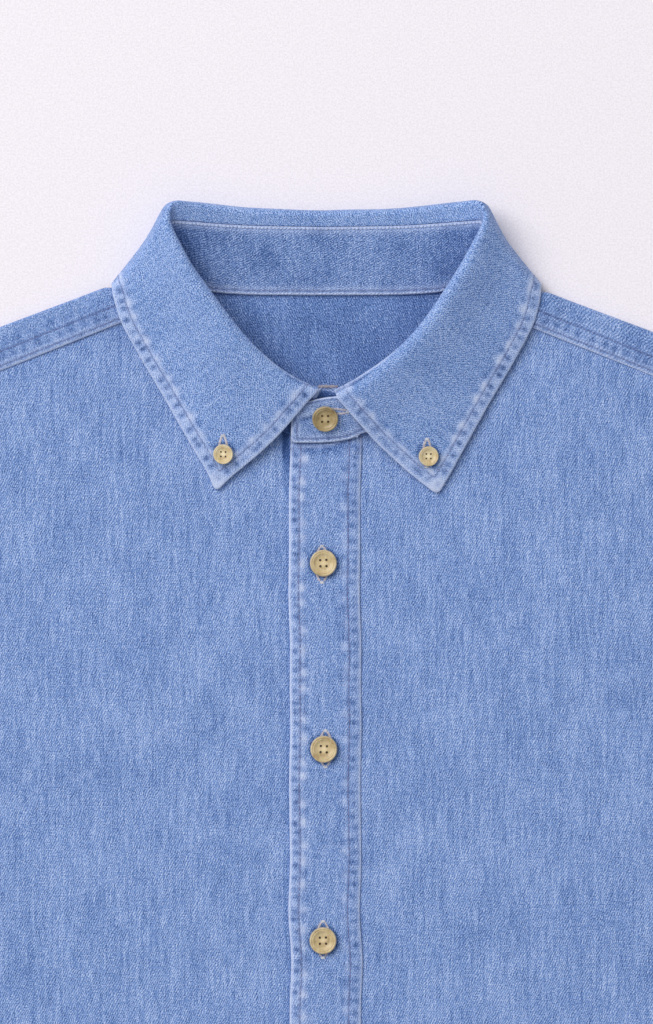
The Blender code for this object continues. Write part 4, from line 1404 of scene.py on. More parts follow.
@dataclass
class Fronts:
    """The two fronts, with the seams sewn through them."""

    panel: Panel = field(default_factory=Panel)
    join: float = 11.2
    hem_row: float = 7.0
    edge_row: float = 1.6
    armhole_row: float = 8.0
    flat: tuple[float, float] = (0.30, 0.745)
    area: float = 0.168
    wave: float = 0.16
    trough_x: float = 21.0
    trough_width: float = 2.4
    trough_depth: float = 0.8

    def level(self, x: Array, y: Array) -> Array:
        """The front's middle, with the faint unevenness of loose cloth."""
        calm = ramp((CUT.half_width(y) - np.abs(x)) / 30) * ramp((y - CUT.hem_y(x, CUT.front_hem)) / 30)
        trough = -self.trough_depth * bell(x + self.trough_x, self.trough_width) * ramp((y + 106) / 26)
        loose = self.wave * undulation(x, y, 11) * calm * ramp((-62 - y) / 30 + 0.6)
        return CUT.front_level(x, y) + loose + trough * ramp((-74 - y) / 6)

    def build(self) -> None:
        """Builds both fronts."""
        for name, side in (("left", 1), ("right", -1)):
            tops = self.panel.front_tops(self.join)
            hem_from = self.join
            if side < 0:
                centre = np.linspace(CUT.seam - self.join, self.join - 4.0, 4)
                lead = np.stack([centre, np.full(4, CUT.front_neck)], axis=1)
                tops = np.concatenate([lead, tops])
                hem_from = CUT.seam - self.join
            middle, grain = self.panel.ruled(tops, hem_from, CUT.front_hem, side, self.level)
            cloth = Cloth(f"front_{name}", middle, CUT.wall / 2, grain, Cloths.BODY, "denim")
            self._finish(cloth, side)

    def _finish(self, cloth: Cloth, side: int) -> None:
        """Sews and builds one front."""
        hem = cloth.middle[:, -1].copy()
        outer = cloth.middle[0 if side > 0 else -1].copy()
        rim = cloth.middle[:, 0].copy()
        armhole = rim[(rim[:, 1] < -66) & (np.abs(rim[:, 0]) > 215)]
        cloth.droop(outer, 0.5, 3.0)
        if side < 0:
            # The shade in the hollow beside the placket's top, and beside its whole edge.
            x, y = cloth.places
            lean = 19.0 + 1.3 * ramp((y + 100) / 26)
            width = 0.7 + 1.2 * ramp((y + 104) / 26)
            trough = bell(x + lean, width) * ramp((y + 110) / 30)
            beside = bell(x + 19.4, 1.5)
            cloth.stain(dye_and_shade=(1.2 + 0.7 * ramp((y + 92) / 12)) * trough)
            cloth.stain(dye_and_shade=0.3 * beside)
        cloth.sew(hem, SeamWear(self.hem_row, seed=21))
        cloth.sew(outer, SeamWear(self.hem_row, seed=22))
        cloth.sew(armhole, SeamWear(self.armhole_row, seed=23, blobs=0.6))
        rows = ((hem, self.hem_row), (outer, self.edge_row), (outer, self.hem_row), (armhole, self.armhole_row))
        finish(cloth, self.flat, self.area, ["back"], Seams(Stitches(seed=5), rows))


@dataclass
class Back:
    """The back below the yoke."""

    panel: Panel = field(default_factory=lambda: Panel(step=6.5))
    hem_row: float = 7.0
    flat: tuple[float, float] = (0.58, 0.70)
    area: float = 0.352

    def build(self) -> None:
        level = CUT.back_yoke - CUT.seam
        end = float(CUT.armhole_x(level))
        share = (CUT.shoulder[1] - level) / (CUT.shoulder[1] - CUT.underarm[1])
        top = np.stack([np.linspace(0, end, 36), np.full(36, level)], axis=1)[:-1]
        armhole = CUT.armhole_points(np.linspace(share, 1.0, 32))
        middle, _ = self.panel.ruled(np.concatenate([top, armhole]), 0.0, CUT.back_hem, -1, CUT.under_level)
        mirror = middle[1:][::-1] * np.array((-1, 1, 1))
        middle = np.concatenate([mirror, middle])
        cloth = Cloth("back", middle, CUT.wall / 2, middle[..., :2].copy(), Cloths.BODY, "denim")
        hem = middle[:, -1].copy()
        cloth.sew(hem, SeamWear(self.hem_row, seed=31))
        finish(cloth, self.flat, self.area, [], Seams(Stitches(seed=6), [(hem, self.hem_row)]))


@dataclass
class Yoke:
    """The yoke: the back layer, round the shoulder lines, and the strips sewn to the fronts."""

    arc_points: int = 9
    seam_row: float = 2.3
    second_row: float = 9.0
    back_length: float = 90.0
    strip_length: float = 27.0
    side_length: float = 144.5
    front_height: float = 2.6
    flat: tuple[float, float] = (0.46, 0.17)
    area: float = 0.045

    def build(self) -> None:
        backs, fronts = self._columns()
        rows = backs.shape[1]
        grid = np.concatenate([backs, fronts], axis=1)
        sides = np.concatenate([grid[::-1][:-1] * np.array((-1, 1, 1)), grid])
        count = sides.shape[0]
        mask = np.ones((count - 1, sides.shape[1] - 1), bool)
        centre = count // 2
        lone = np.abs(np.arange(count - 1) + 0.5 - centre) < self.middles - 0.9
        mask[lone, rows - 1:] = False
        along = np.cumsum(np.linalg.norm(np.diff(sides, axis=1, prepend=sides[:, :1]), axis=-1), axis=1)
        grain = np.stack([sides[..., 0], along], axis=-1)
        cloth = Cloth("yoke", sides[::-1].copy(), CUT.wall / 2, grain[::-1].copy(), Cloths.YOKE, "denim",
                      mask=mask[::-1].copy())
        self._finish(cloth)

    def _columns(self) -> tuple[Array, Array]:
        """Columns of the right half, from the centre out: the back part and the front part."""
        back_shares = graded(self.back_length, 3.2)
        middle_x = np.linspace(0, CUT.neck_x, 30)[:-1]
        self.middles = len(middle_x)
        # The neck's edge, which rises from the centre back to the shoulder.
        neck_y = ease((0, 30, 56, 66, CUT.neck_x), (-0.6, -0.4, 1.0, 3.6, CUT.fold_y(CUT.neck_x)), middle_x)
        backs, fronts = [], []
        strip = graded(self.strip_length, 1.3, last=12.0, fine=0.75)[1:]
        for x, y in zip(middle_x, neck_y):
            column = np.stack([np.full_like(back_shares, x), CUT.back_yoke + (y - CUT.back_yoke) * back_shares], 1)
            backs.append(self._level(column, CUT.under_level))
            fronts.append(np.repeat(backs[-1][-1:], self.arc_points + len(strip), axis=0))
        for share in graded(self.side_length, 1.5):
            back, front = self._side_column(float(share), back_shares, strip)
            backs.append(back)
            fronts.append(front)
        return np.array(backs), np.array(fronts)

    def _side_column(self, share: float, back_shares: Array, strip: Array) -> tuple[Array, Array]:
        """One column beside the neck: up the back, round the shoulder line, down to the front seam."""
        fold_x = CUT.neck_x + (CUT.shoulder[0] - CUT.neck_x) * share
        fold = np.array((fold_x, float(CUT.fold_y(fold_x)) - CUT.wall / 2))
        end_y = float(CUT.front_seam_y(CUT.shoulder[0]))
        end_x, back_end = float(CUT.armhole_x(end_y)), float(CUT.armhole_x(CUT.back_yoke))
        seam_x = CUT.neck_x + (end_x - CUT.neck_x) * share
        back = np.array((CUT.neck_x + (back_end - CUT.neck_x) * share, CUT.back_yoke))
        front = np.array((seam_x, float(CUT.front_seam_y(seam_x))))
        parts = back_shares[:, None]
        lower = back + (fold - back) * parts
        bend = CUT.armhole_x(lower[:, 1]) - back_end * (1 - back_shares) - CUT.shoulder[0] * back_shares
        lower[:, 0] += bend * share ** 4
        upper = fold + (front - fold) * strip[:, None]
        upper[:, 0] += (CUT.armhole_x(upper[:, 1]) - CUT.shoulder[0] * (1 - strip) - end_x * strip) * share ** 4
        low = float(CUT.under_level(*fold))
        radius = (float(CUT.yoke_level(*fold)) - low) / 2
        turn = np.radians(np.linspace(-90, 90, self.arc_points + 1)[1:])
        arc = np.stack([np.full(len(turn), fold[0]), fold[1] + radius * (np.cos(turn) - 1) + 0.35 * np.cos(turn),
                        low + radius * (1 + np.sin(turn))], axis=1)
        return self._level(lower, CUT.under_level), np.concatenate([arc, self._level(upper, CUT.yoke_level)])

    @staticmethod
    def _level(flat: Array, level: Callable) -> Array:
        """Gives places their heights."""
        return np.column_stack([flat, level(flat[:, 0], flat[:, 1])])

    def _finish(self, cloth: Cloth) -> None:
        centre = cloth.middle.shape[0] // 2
        reach = centre - self.middles
        seams = [cloth.middle[:reach + 1, -1].copy(), cloth.middle[-reach - 1:, -1].copy()]
        front = cloth.middle[..., 2] > self.front_height
        # The yoke's back layer, seen inside the neck, is made darker.
        inside = (1 - ramp((np.abs(cloth.places[0]) - 82) / 12)) * np.where(front, 0, 1)
        cloth.stain(dye_and_shade=0.42 * inside)
        for i, seam in enumerate(seams):
            cloth.droop(seam, 0.45, 1.6)
            cloth.sew(seam, SeamWear(self.seam_row, pitch=6.5, hollow=0.05, seed=41 + i, rim=0.8, ground=0.3,
                                     blobs=0.2, inner=0.0), front)
            cloth.sew(seam, SeamWear(self.second_row, pitch=6.2, seed=43 + i, ground=0.1, hollow=0.22,
                                     blobs=0.95, inner=0.4, rim=0.3), front)
        rows = [(seam, inset) for seam in seams for inset in (self.seam_row, self.second_row)]
        thread = Seams(Stitches(width=0.36, height=0.34, seed=8), rows)
        finish(cloth, self.flat, self.area, ["front_left", "front_right"], thread)


@dataclass
class Placket:
    """The strip down the centre front."""

    left: float = -18.2
    right: float = 17.5
    top: float = -73.2
    fine_length: float = 302.0
    rows: tuple[float, float] = (5.1, 6.1)
    flat: tuple[float, float] = (0.037, 0.69)
    area: float = 0.0245

    def build(self) -> Cloth:
        length = self.top - CUT.front_hem
        rest = length - self.fine_length
        down = np.concatenate([graded(self.fine_length, 1.05)[:-1] * self.fine_length,
                               self.fine_length + graded(rest, 2.0)[3:] * rest])
        width = self.right - self.left
        across = graded(width, 1.3, first=9.0, last=9.0, fine=0.7)
        x, y = np.meshgrid(self.left + width * across, self.top - down)
        # The edges waver, the strip leans at the first button, and its top dips under the stand.
        x = x + 0.35 * undulation(0 * y, y, 33, 30, 90) - 0.5 * bell(y + 137, 26)
        rise = CUT.wall / 2 + CUT.laid + CUT.band / 2
        z = CUT.front_level(x, y) + rise + 0.06 * undulation(x, y, 17, 14, 50)
        z = z - 0.9 * ramp((y + 79.5) / 4)
        middle = np.stack([x, y, z], axis=-1)
        cloth = Cloth("placket", middle, CUT.band / 2, middle[..., :2].copy(), Cloths.BANDS, "denim_bands",
                      settles=False)
        left, right = middle[:, 0].copy(), middle[:, -1].copy()
        cloth.droop(left, 0.35, 2.0)
        cloth.droop(right, 0.55, 2.2)
        cloth.sew(left, SeamWear(self.rows[0], pitch=5.4, seed=51, hollow=0.22, rim=1.0, ground=0.25, blobs=1.1,
                                 bare=0.85))
        cloth.sew(right, SeamWear(self.rows[1], pitch=5.8, seed=52, hollow=0.18, rim=0.9, ground=0.15, blobs=0.8,
                                  bare=0.4))
        cloth.sew(middle[0].copy(), SeamWear(5.9, pitch=4.2, seed=53, hollow=0.0, rim=0.4, ground=0.0, blobs=0.0,
                                             inner=1.0))
        for i in range(1, 7):
            cloth.press(*BUTTON_PLACES[str(i)], 6.7)
        self._under_stand(cloth)
        for line, reach in ((left, 2.6), (right, 2.2)):
            distance, _ = near(cloth.middle, line)
            cloth.thick *= 1 - 0.35 * bell(distance, reach)
        thread = Seams(Stitches(width=0.55, height=0.36, seed=9), ((left, self.rows[0]), (right, self.rows[1])))
        finish(cloth, self.flat, self.area, ["front_left", "front_right"], thread)
        return cloth

    @staticmethod
    def _under_stand(cloth: Cloth) -> None:
        """Marks the placket's top along the stand's lapped end: a painted shadow beside it, then pale, then dark
        again in patches.
        """
        x, y = cloth.places
        below = y - ease(STAND_EDGE[0], np.array(STAND_EDGE[1]), x)
        patchy = 0.75 + 0.5 * undulation(x, y, 38, 2.2, 6)
        cloth.stain(wear=0.55 * bell(below - 1.7, 0.8), dye_and_shade=patchy * bell(below, 0.8))
        # A painted shadow in a thin dark line just under the stand's edge.
        cloth.stain(dye_and_shade=1.5 * bell(below - 3.0, 0.5))


# ---------------------------------------------------------------- collar


@dataclass
class Collar:
    """The stand round the neck and the leaf that folds over it."""

    leaf_row: float = 6.0
    bottom_row: float = 2.2
    end_row: float = 3.0
    leaf_gap: float = 0.01
    stand_gap: float = 0.004
    leaf_size: tuple[float, float] = (420.0, 62.0)
    stand_size: tuple[float, float] = (500.0, 36.0)
    leaf_corner: float = 3.4
    stand_corner: float = 2.2
    readings: int = 900
    back_y: float = -40.0
    back_half: float = 78.0
    end_y: float = -62.0
    end_half: float = 15.5
    leaf_flat: tuple[float, float] = (0.50, 0.075)
    leaf_area: float = 0.0268
    stand_flat: tuple[float, float] = (0.46, 0.042)
    stand_area: float = 0.0120

    def build(self) -> tuple[Cloth, Cloth]:
        """Builds both pieces, and gives their cloth for the buttons."""
        return self._leaf(), self._stand()

    def _leaf(self) -> Cloth:
        """The folded-over leaf."""
        across = np.linspace(1 + self.leaf_gap, 5, 160)
        dense = self._lie(collar_grid(np.linspace(-LAST, LAST, self.readings), across), across)
        middle = regrid(dense, graded(self.leaf_size[0], 0.95, first=3.0, last=3.0),
                        graded(self.leaf_size[1], 1.7, first=11.0, last=9.5, fine=0.65))
        cloth = Cloth("collar_fall", middle, CUT.band / 2, self._grain(middle), Cloths.LEAF, "denim_bands",
                      edge_round=1.3, settles=False)
        for i in (0, -1):
            cloth.round_corner(i, -1, self.leaf_corner)
        middle = cloth.middle
        start = int(np.argmax(run_lengths(middle[0]) > 6.0))
        for i in (0, -1):
            cloth.droop(middle[i, len(middle[i]) // 2:].copy(), 1.1, 8.0)
        middle = cloth.middle
        front = [middle[0, start:].copy(), middle[-1, start:][::-1].copy()]
        edge = np.concatenate([front[0], middle[1:-1, -1], front[1]])
        self._tips(cloth)
        cloth.sew(edge, SeamWear(self.leaf_row, pitch=5.6, seed=61, hollow=0.24, rim=0.7, ground=0.42, blobs=1.6,
                                 bare=0.75))
        for line in front:
            cloth.mark(line, 1.5, wear=0.7)
        for side, strength in ((1, 1.0), (-1, 0.5)):
            self._lip(cloth, side, strength)
        for side in ("right", "left"):
            cloth.press(*BUTTON_PLACES["collar_" + side], 4.9)
        cloth.lift += 0.10 * undulation(*cloth.places, 19, 22, 60)
        thread = Seams(Stitches(width=0.34, height=0.34, seed=10), [(edge, self.leaf_row)])
        finish(cloth, self.leaf_flat, self.leaf_area, ["collar_stand", "yoke"], thread)
        return cloth

    @staticmethod
    def _lie(grid: Array, across: Array) -> Array:
        """Each leaf's point as it came to lie, a little off its pattern.

        Args:
            grid: The whole leaf from the right front end to the left one.
            across: Its lines, from 1 at the seam to 5 at the edge.

        Returns:
            The moved grid.
        """
        at = np.abs(np.linspace(-LAST, LAST, len(grid)))
        forward = ramp((at - 8.2) / 2.8)[:, None]
        weight = forward * ramp((across - 2.4) / 1.2)[None, :]
        far = forward * ramp((across - 3.2) / 1.8)[None, :]
        left = (np.linspace(-1, 1, len(grid)) > 0)[:, None]
        moved = grid.copy()
        moved[..., 0] += far * np.where(left, -0.4, 0.8)
        moved[..., 1] += -1.9 * weight + far * np.where(left, -0.3, 1.0)
        front = ramp((at - 9.2) / 1.8)[:, None]
        for shifts, side in ((FRONT_SHIFT_LEFT, left), (FRONT_SHIFT_RIGHT, ~left)):
            for axis, shift in enumerate(shifts):
                moved[..., axis] += front * ease(FRONT_KNOTS, np.array(shift), across) * side
        outer = ease(OUTER_KNOTS, np.array(OUTER_SHARE), at)[:, None] * ramp(across - 4)[None, :]
        moved[..., :2] += np.array(OUTER_SHIFT) * outer[..., None] * np.where(left, 0, 1)[..., None]
        bulge = ease((1, 2, 3, 4, 5), np.array(LEAF_SHARE), across)[None, :]
        down, pulled = (ease(range(9), np.array(row), np.minimum(at, 8))[:, None] for row in (LEAF_DOWN, LEAF_IN))
        moved[..., 1] -= down * bulge
        moved[..., 0] -= pulled * bulge * np.where(left, 1, -1)
        return moved

    def _lip(self, cloth: Cloth, side: int, strength: float) -> None:
        """The seam between the stand and the leaf, where it shows beside the roll near the front.

        Args:
            cloth: The leaf's cloth.
            side: 1 for the wearer's left.
            strength: How clearly it shows.
        """
        rows = np.array((2.42, 2.0))
        lines = self._lie(collar_grid(np.linspace(-LAST, LAST, self.readings), rows), rows)[::-side]
        groove, crest = lines[:115, 0], lines[:115, 1]
        # The crest is worn pale; the groove beside it is darkened, partly as kept dye and partly as painted shade.
        cloth.mark(crest, 1.1, wear=0.95 * strength, fade=lambda a: 1 - ramp((a - 26) / 16))
        cloth.mark(groove, 0.55, dye_and_shade=2.0 * strength, lift=-0.5 * strength, fade=lambda a: 1 - ramp((a - 12) / 16))

    @staticmethod
    def _tips(cloth: Cloth) -> None:
        """Washes out the leaf's points, where the cloth is thickest."""
        for corner in (cloth.middle[0, -1], cloth.middle[-1, -1]):
            cloth.stain(wear=bell(np.linalg.norm(cloth.middle - corner, axis=-1), 9.0, 4))

    @staticmethod
    def _grain(middle: Array) -> Array:
        """Millimetres along the middle line and across from it."""
        half = middle.shape[1] // 2
        along = run_lengths(middle[:, half])[:, None].repeat(middle.shape[1], axis=1)
        steps = np.linalg.norm(np.diff(middle, axis=1, prepend=middle[:, :1]), axis=-1)
        return np.stack([along, np.cumsum(steps, axis=1)], axis=-1)

    def _stand(self) -> Cloth:
        """The band round the neck, with its lapped ends."""
        shares = np.linspace(0, 1 - self.stand_gap, 24)
        body = collar_grid(np.linspace(-LAST, LAST, 460), shares)
        ends = self._stand_end(-1, body[0], shares), self._stand_end(1, body[-1], shares)
        middle = regrid(np.concatenate([ends[0][::-1], body, ends[1]]),
                        graded(self.stand_size[0], 0.95, first=3.0, last=3.0),
                        graded(self.stand_size[1], 1.2, first=4.0, last=4.0, fine=0.6))
        cloth = Cloth("collar_stand", middle, CUT.band / 2, self._grain(middle), Cloths.STAND, "denim_bands",
                      edge_round=1.2, turning=True, settles=False)
        for i in (0, -1):
            cloth.round_corner(i, 0, self.stand_corner)
        self._finish_stand(cloth)
        return cloth

    @staticmethod
    def _stand_end(side: int, start: Array, shares: Array) -> Array:
        """The stand past the leaf: the left end laps over the right one.

        Args:
            side: 1 for the wearer's left.
            start: The stand's last line before its end.
            shares: Shares from the neck edge to the top one.

        Returns:
            The end's grid.
        """
        lines = STAND_END[:, :1] + (STAND_END[:, 1:] - STAND_END[:, :1]) * shares[None, :, None]
        lines = lines * np.array((side, 1, 1)) + np.array((0, 0, LAP * side))
        if side < 0:
            x = lines[..., 0]
            lines[..., 1] += 6.2 * bell(x + 1.0, 11.0, 4) * shares + 4.2 * ramp((x - 3) / 11) * (1 - shares)
        return ease(range(6), np.concatenate([start[None], lines]), np.linspace(0.05, 5, 60))

    def _finish_stand(self, cloth: Cloth) -> None:
        middle = cloth.middle
        bottom = middle[:, 0].copy()
        end, top = middle[-1].copy(), middle[:, -1].copy()
        x, y = cloth.places
        # Painted shade on the stand's inside: more at the sides, most on the wearer's right beside the roll, in
        # uneven patches.
        inside = ramp((y + 45) / 30)
        sides = ramp((np.abs(x) - 42) / 26) * np.where(x < 0, 0.42, 0.25)
        shade_patches = 0.14 * np.maximum(undulation(x, y, 37, 9, 34), 0)
        cloth.stain(dye_and_shade=(0.24 + sides + shade_patches) * inside)
        for line, seed, inset in ((bottom, 71, self.bottom_row), (end, 73, self.end_row)):
            cloth.sew(line, SeamWear(inset, pitch=6.0, seed=seed, hollow=0.06, rim=0.8, ground=0.3, blobs=0.3,
                                     inner=0.4))
        cloth.sew(top, SeamWear(1.25, pitch=5.0, seed=72, hollow=0.05, rim=0.6, ground=0.3, blobs=0.2, inner=0.4))
        self._shade(cloth)
        # A pull crease beside the stand's button, with its relief: painted shade along it and a painted highlight on
        # the ridge above.
        crease = np.array(((-15.0, -66.6, 11.0), (-11.0, -65.6, 11.2), (-7.0, -64.6, 11.4)))
        beyond = crease + np.array((0, 2.4, 0))
        cloth.mark(self._on(cloth, crease), 0.7, dye_and_shade=0.8, lift=-0.4, fade=lambda a: ramp(a / 3))
        cloth.mark(self._on(cloth, beyond), 1.5, wear=0.35, lift=0.3, fade=lambda a: ramp(a / 3))
        thread = Seams(Stitches(width=0.34, height=0.34, seed=12), ((bottom, self.bottom_row), (end, self.end_row)))
        rope = Stitches(Threads.ROPE, pitch=1.9, length=1.9, width=1.0, height=0.45, seed=13)
        edges = Seams(rope, ((top, 1.0, self._behind), (bottom, 0.8, self._shown)), "collar_seam")
        finish(cloth, self.stand_flat, self.stand_area, ["yoke", "placket"], thread, edges)

    def _behind(self, points: Array) -> Array:
        """Which points lie in the back of the neck."""
        return points[:, 1] > self.back_y

    def _shown(self, points: Array) -> Array:
        """Which points of the neck seam show: those behind the neck, and those under the lapped end."""
        aside = np.abs(points[:, 0])
        ends = (points[:, 1] < self.end_y) & (aside < self.end_half)
        return self._behind(points) & (aside < self.back_half) | ends

    @staticmethod
    def _shade(cloth: Cloth) -> None:
        """Darkens what lies in the gap between the stand's ends and beside the lapped one."""
        x, y = cloth.places
        under = np.arange(len(x))[:, None] < len(x) // 2
        share = np.linspace(0, 1, x.shape[1])[None, :]
        gap = under * ramp((-46 - y) / 4) * ramp((18 - x) / 4) * ramp((x + 12) / 4) * ramp((0.86 - share) / 0.1)
        beside = under * ramp((x + 30) / 4) * ramp((-15 - x) / 2) * ramp((-62 - y) / 4)
        dark = np.maximum(gap, beside)
        cloth.stain(dye_and_shade=1.3 * dark)
        cloth.wear *= 1 - dark

    @staticmethod
    def _on(cloth: Cloth, line: Array) -> Array:
        """A line moved to the cloth's nearest points at the left end.

        Args:
            cloth: The stand's cloth.
            line: The line as drawn from above.

        Returns:
            The line on the cloth.
        """
        points = cloth.middle[-120:].reshape(-1, 3)
        dense = respace(line, np.linspace(0, 1, 12))
        heights = [points[np.argmin(np.hypot(*(points[:, :2] - p[:2]).T)), 2] for p in dense]
        return np.column_stack([dense[:, :2], heights])


# ---------------------------------------------------------------- sleeves


@dataclass
class Sleeve:
    """A flattened sleeve with its cuff and placket, on one side."""

    side: int
    rise: float = 1.9
    loft: float = 1.2
    gap: float = 0.6
    length: float = 597.0
    columns: int = 44
    edge: float = 0.008
    cuff_length: float = 65.0
    cuff_rise: float = 2.1
    cuff_lap: float = 20.0
    cuff_end: float = 0.42
    strip: tuple[float, float] = (24.0, 120.0)
    point: float = 10.0
    head_row: float = 2.0
    seam_row: float = 7.5
    cuff_row: float = 6.0
    strip_row: float = 2.0

    @property
    def name(self) -> str:
        """The wearer's side."""
        return "left" if self.side > 0 else "right"

    @property
    def cuff_width(self) -> float:
        """The flat cuff's width."""
        return math.dist(CUT.cuff_outer, CUT.cuff_inner)

    def place(self, along: Array, share: Array) -> Array:
        """Where the sleeve is, from the armhole to the cuff and from the outer fold to the seam.

        Args:
            along: 0 at the armhole to 1 at the cuff.
            share: 0 at the outer fold to 1 at the underarm seam.

        Returns:
            Places, with x and y.
        """
        along, share = np.broadcast_arrays(np.asarray(along, float), np.asarray(share, float))
        ends = [np.array(p) for p in (CUT.shoulder, CUT.cuff_outer, CUT.underarm, CUT.cuff_inner)]
        outer = ends[0] + (ends[1] - ends[0]) * along[..., None]
        inner = ends[2] + (ends[3] - ends[2]) * along[..., None]
        chord = ends[0] + (ends[2] - ends[0]) * share[..., None]
        hollow = CUT.armhole_points(share) - chord
        return outer + (inner - outer) * share[..., None] + hollow * ((1 - along) ** 4)[..., None]

    def level(self, x: Array, y: Array, along: Array, share: Array) -> Array:
        """Middle of the sleeve's upper layer."""
        from_edge = ramp(np.minimum(share, 1 - share) / 0.25)
        from_end = ramp(np.minimum(along, 1 - along) / 0.12)
        loose = 0.22 * undulation(x, y, 27, 30, 110)
        air = from_edge * from_end * (self.loft + CUT.fold_height(x, y) + loose)
        return CUT.wall / 2 + self.rise + air

    def build(self) -> None:
        self._tube()
        self._cuff()
        self._placket()

    def _tube(self) -> None:
        """The sleeve itself."""
        arc = np.radians(np.linspace(-90, 90, 9)[1:-1])
        shares = np.linspace(self.edge, 1 - self.edge, self.columns)
        ring_share = np.concatenate([self.edge * (1 - np.cos(arc)), shares,
                                     1 - self.edge * (1 - np.cos(arc[::-1])), shares[::-1]])
        low = CUT.wall / 2
        height = np.concatenate([0.5 + 0.5 * np.sin(arc), np.ones(self.columns),
                                 0.5 + 0.5 * np.sin(arc[::-1]), np.zeros(self.columns)])
        along = graded(self.length, 5.6, first=9.0, last=6.0, fine=1.6)
        a, s = np.meshgrid(along, ring_share, indexing="ij")
        flat = self.place(a, s)
        x, y = flat[..., 0] * self.side, flat[..., 1]
        upper = self.level(x, y, a, s)
        z = low + np.where(height[None] == 1, upper - low, self.rise * height[None])
        x = x + self.gap * self.side * (0.25 + 0.75 * ramp(a / 0.01))
        middle = np.stack([x, y, z], axis=-1)
        around = np.concatenate([middle, middle[:, :1]], axis=1)
        girth = np.cumsum(np.linalg.norm(np.diff(around[len(a) // 2], axis=0), axis=1))
        grain = np.concatenate([[0], girth])[None, :], (along * self.length)[:, None]
        grain = np.stack(np.broadcast_arrays(*grain), -1)
        if self.side < 0:
            middle, grain = middle[::-1].copy(), grain[::-1].copy()
        cloth = Cloth(f"sleeve_{self.name}", middle, CUT.wall / 2, grain.copy(), Cloths.BODY, "denim", ring=True)
        seam = self._line(np.linspace(0.004, 0.996, a.shape[0]), 1 - self.edge - 0.002, self.gap)
        head = self._line(0.0, np.linspace(0.01, 0.985, 120), self.gap * 0.25)
        upper_side = cloth.middle[..., 2] > low + self.rise * 0.7
        cloth.sew(seam, SeamWear(7.0, seed=81), upper_side)
        cloth.sew(head, SeamWear(7.0, seed=82, rim=0.8), upper_side)
        rows = ((seam, self.head_row), (seam, self.seam_row), (head, self.head_row))
        finish(cloth, (0.47, 0.61), 0.117, [f"front_{self.name}"], Seams(Stitches(seed=14), rows))

    def _line(self, along: Array, share: Array, gap: float) -> Array:
        """A line on the sleeve's upper layer.

        Args:
            along: Shares from the armhole to the cuff, or one share.
            share: Shares from the outer fold to the seam, or one share.
            gap: How far out it lies from the panels, in millimetres.

        Returns:
            The line's points.
        """
        along, share = (part.copy() for part in np.broadcast_arrays(along, share))
        flat = self.place(along, share)
        z = self.level(flat[:, 0] * self.side, flat[:, 1], along, share)
        return CUT.settled(np.stack([(flat[:, 0] + gap) * self.side, flat[:, 1], z], axis=1))

    def cuff_place(self, share: Array, down: Array) -> Array:
        """A point of the cuff's plane: share across from the outer fold, down from its seam."""
        outer, inner = np.array(CUT.cuff_outer), np.array(CUT.cuff_inner)
        run = unit(outer - np.array(CUT.shoulder))
        place = outer + (inner - outer) * np.asarray(share)[..., None] + run * np.asarray(down)[..., None]
        return place + np.array((self.gap, 0.0))

    def _path(self) -> Array:
        """The cuff's strip round the sleeve's end, from its under end to its upper one: share across, height."""
        lap = self.cuff_lap / self.cuff_width
        low, high = CUT.band / 2, CUT.band / 2 + self.cuff_rise
        top = high + CUT.band + CUT.laid
        rows = [(self.cuff_end + lap, high), (self.cuff_end, high), (0.2, high), (0.02, high), (0.005, high - 0.35),
                (0, (low + high) / 2), (0.005, low + 0.35), (0.02, low), (0.3, low), (0.7, low), (0.98, low),
                (0.995, low + 0.35), (1, (low + high) / 2), (0.995, high - 0.35), (0.98, high), (0.84, high + 0.2),
                (self.cuff_end + lap + 0.08, top - 0.6), (self.cuff_end + lap, top), (self.cuff_end, top)]
        wide = np.array((self.cuff_width, 1.0))
        scaled = np.array(rows) * wide
        lengths = run_lengths(scaled)
        fine = ease(lengths, scaled, np.linspace(0, lengths[-1], 700))
        return respace(fine, graded(lengths[-1], 1.9, first=3.0, last=8.0, fine=1.0)) / wide

    def _cuff(self) -> None:
        """The cuff, wrapped round and lapped."""
        path = self._path()
        reach = self.cuff_length - CUT.seam
        down = CUT.seam + graded(reach, 2.2, first=3.0, last=7.0, fine=1.0) * reach
        share, d = np.meshgrid(path[:, 0], down, indexing="ij")
        flat = self.cuff_place(share, d)
        z = np.broadcast_to(path[:, 1][:, None], share.shape)
        middle = np.stack([flat[..., 0] * self.side, flat[..., 1], z], axis=-1)
        lengths = run_lengths(path * np.array((self.cuff_width, 1.0)))
        grain = np.stack([np.broadcast_to(lengths[:, None], share.shape), d], axis=-1)
        if self.side > 0:
            middle, grain = middle[::-1].copy(), grain[::-1].copy()
        cloth = Cloth(f"cuff_{self.name}", middle.copy(), CUT.band / 2, grain.copy(), Cloths.BANDS, "denim_bands",
                      edge_round=1.2)
        wrist, lap = cloth.middle[:, -1].copy(), cloth.middle[0 if self.side > 0 else -1].copy()
        middle_height = CUT.band / 2 + self.cuff_rise * 0.6
        upper = cloth.middle[..., 2] > middle_height
        seam = cloth.middle[:, 0].copy()
        for line, seed in ((wrist, 91), (lap, 92), (seam, 93)):
            cloth.sew(line, SeamWear(self.cuff_row, seed=seed), upper)
        above = lambda points: points[:, 2] > middle_height
        rows = ((wrist, self.cuff_row, above), (lap, self.cuff_row, above), (seam, self.head_row, above))
        finish(cloth, (0.275, 0.067), 0.0178, [f"sleeve_{self.name}"], Seams(Stitches(seed=15), rows))

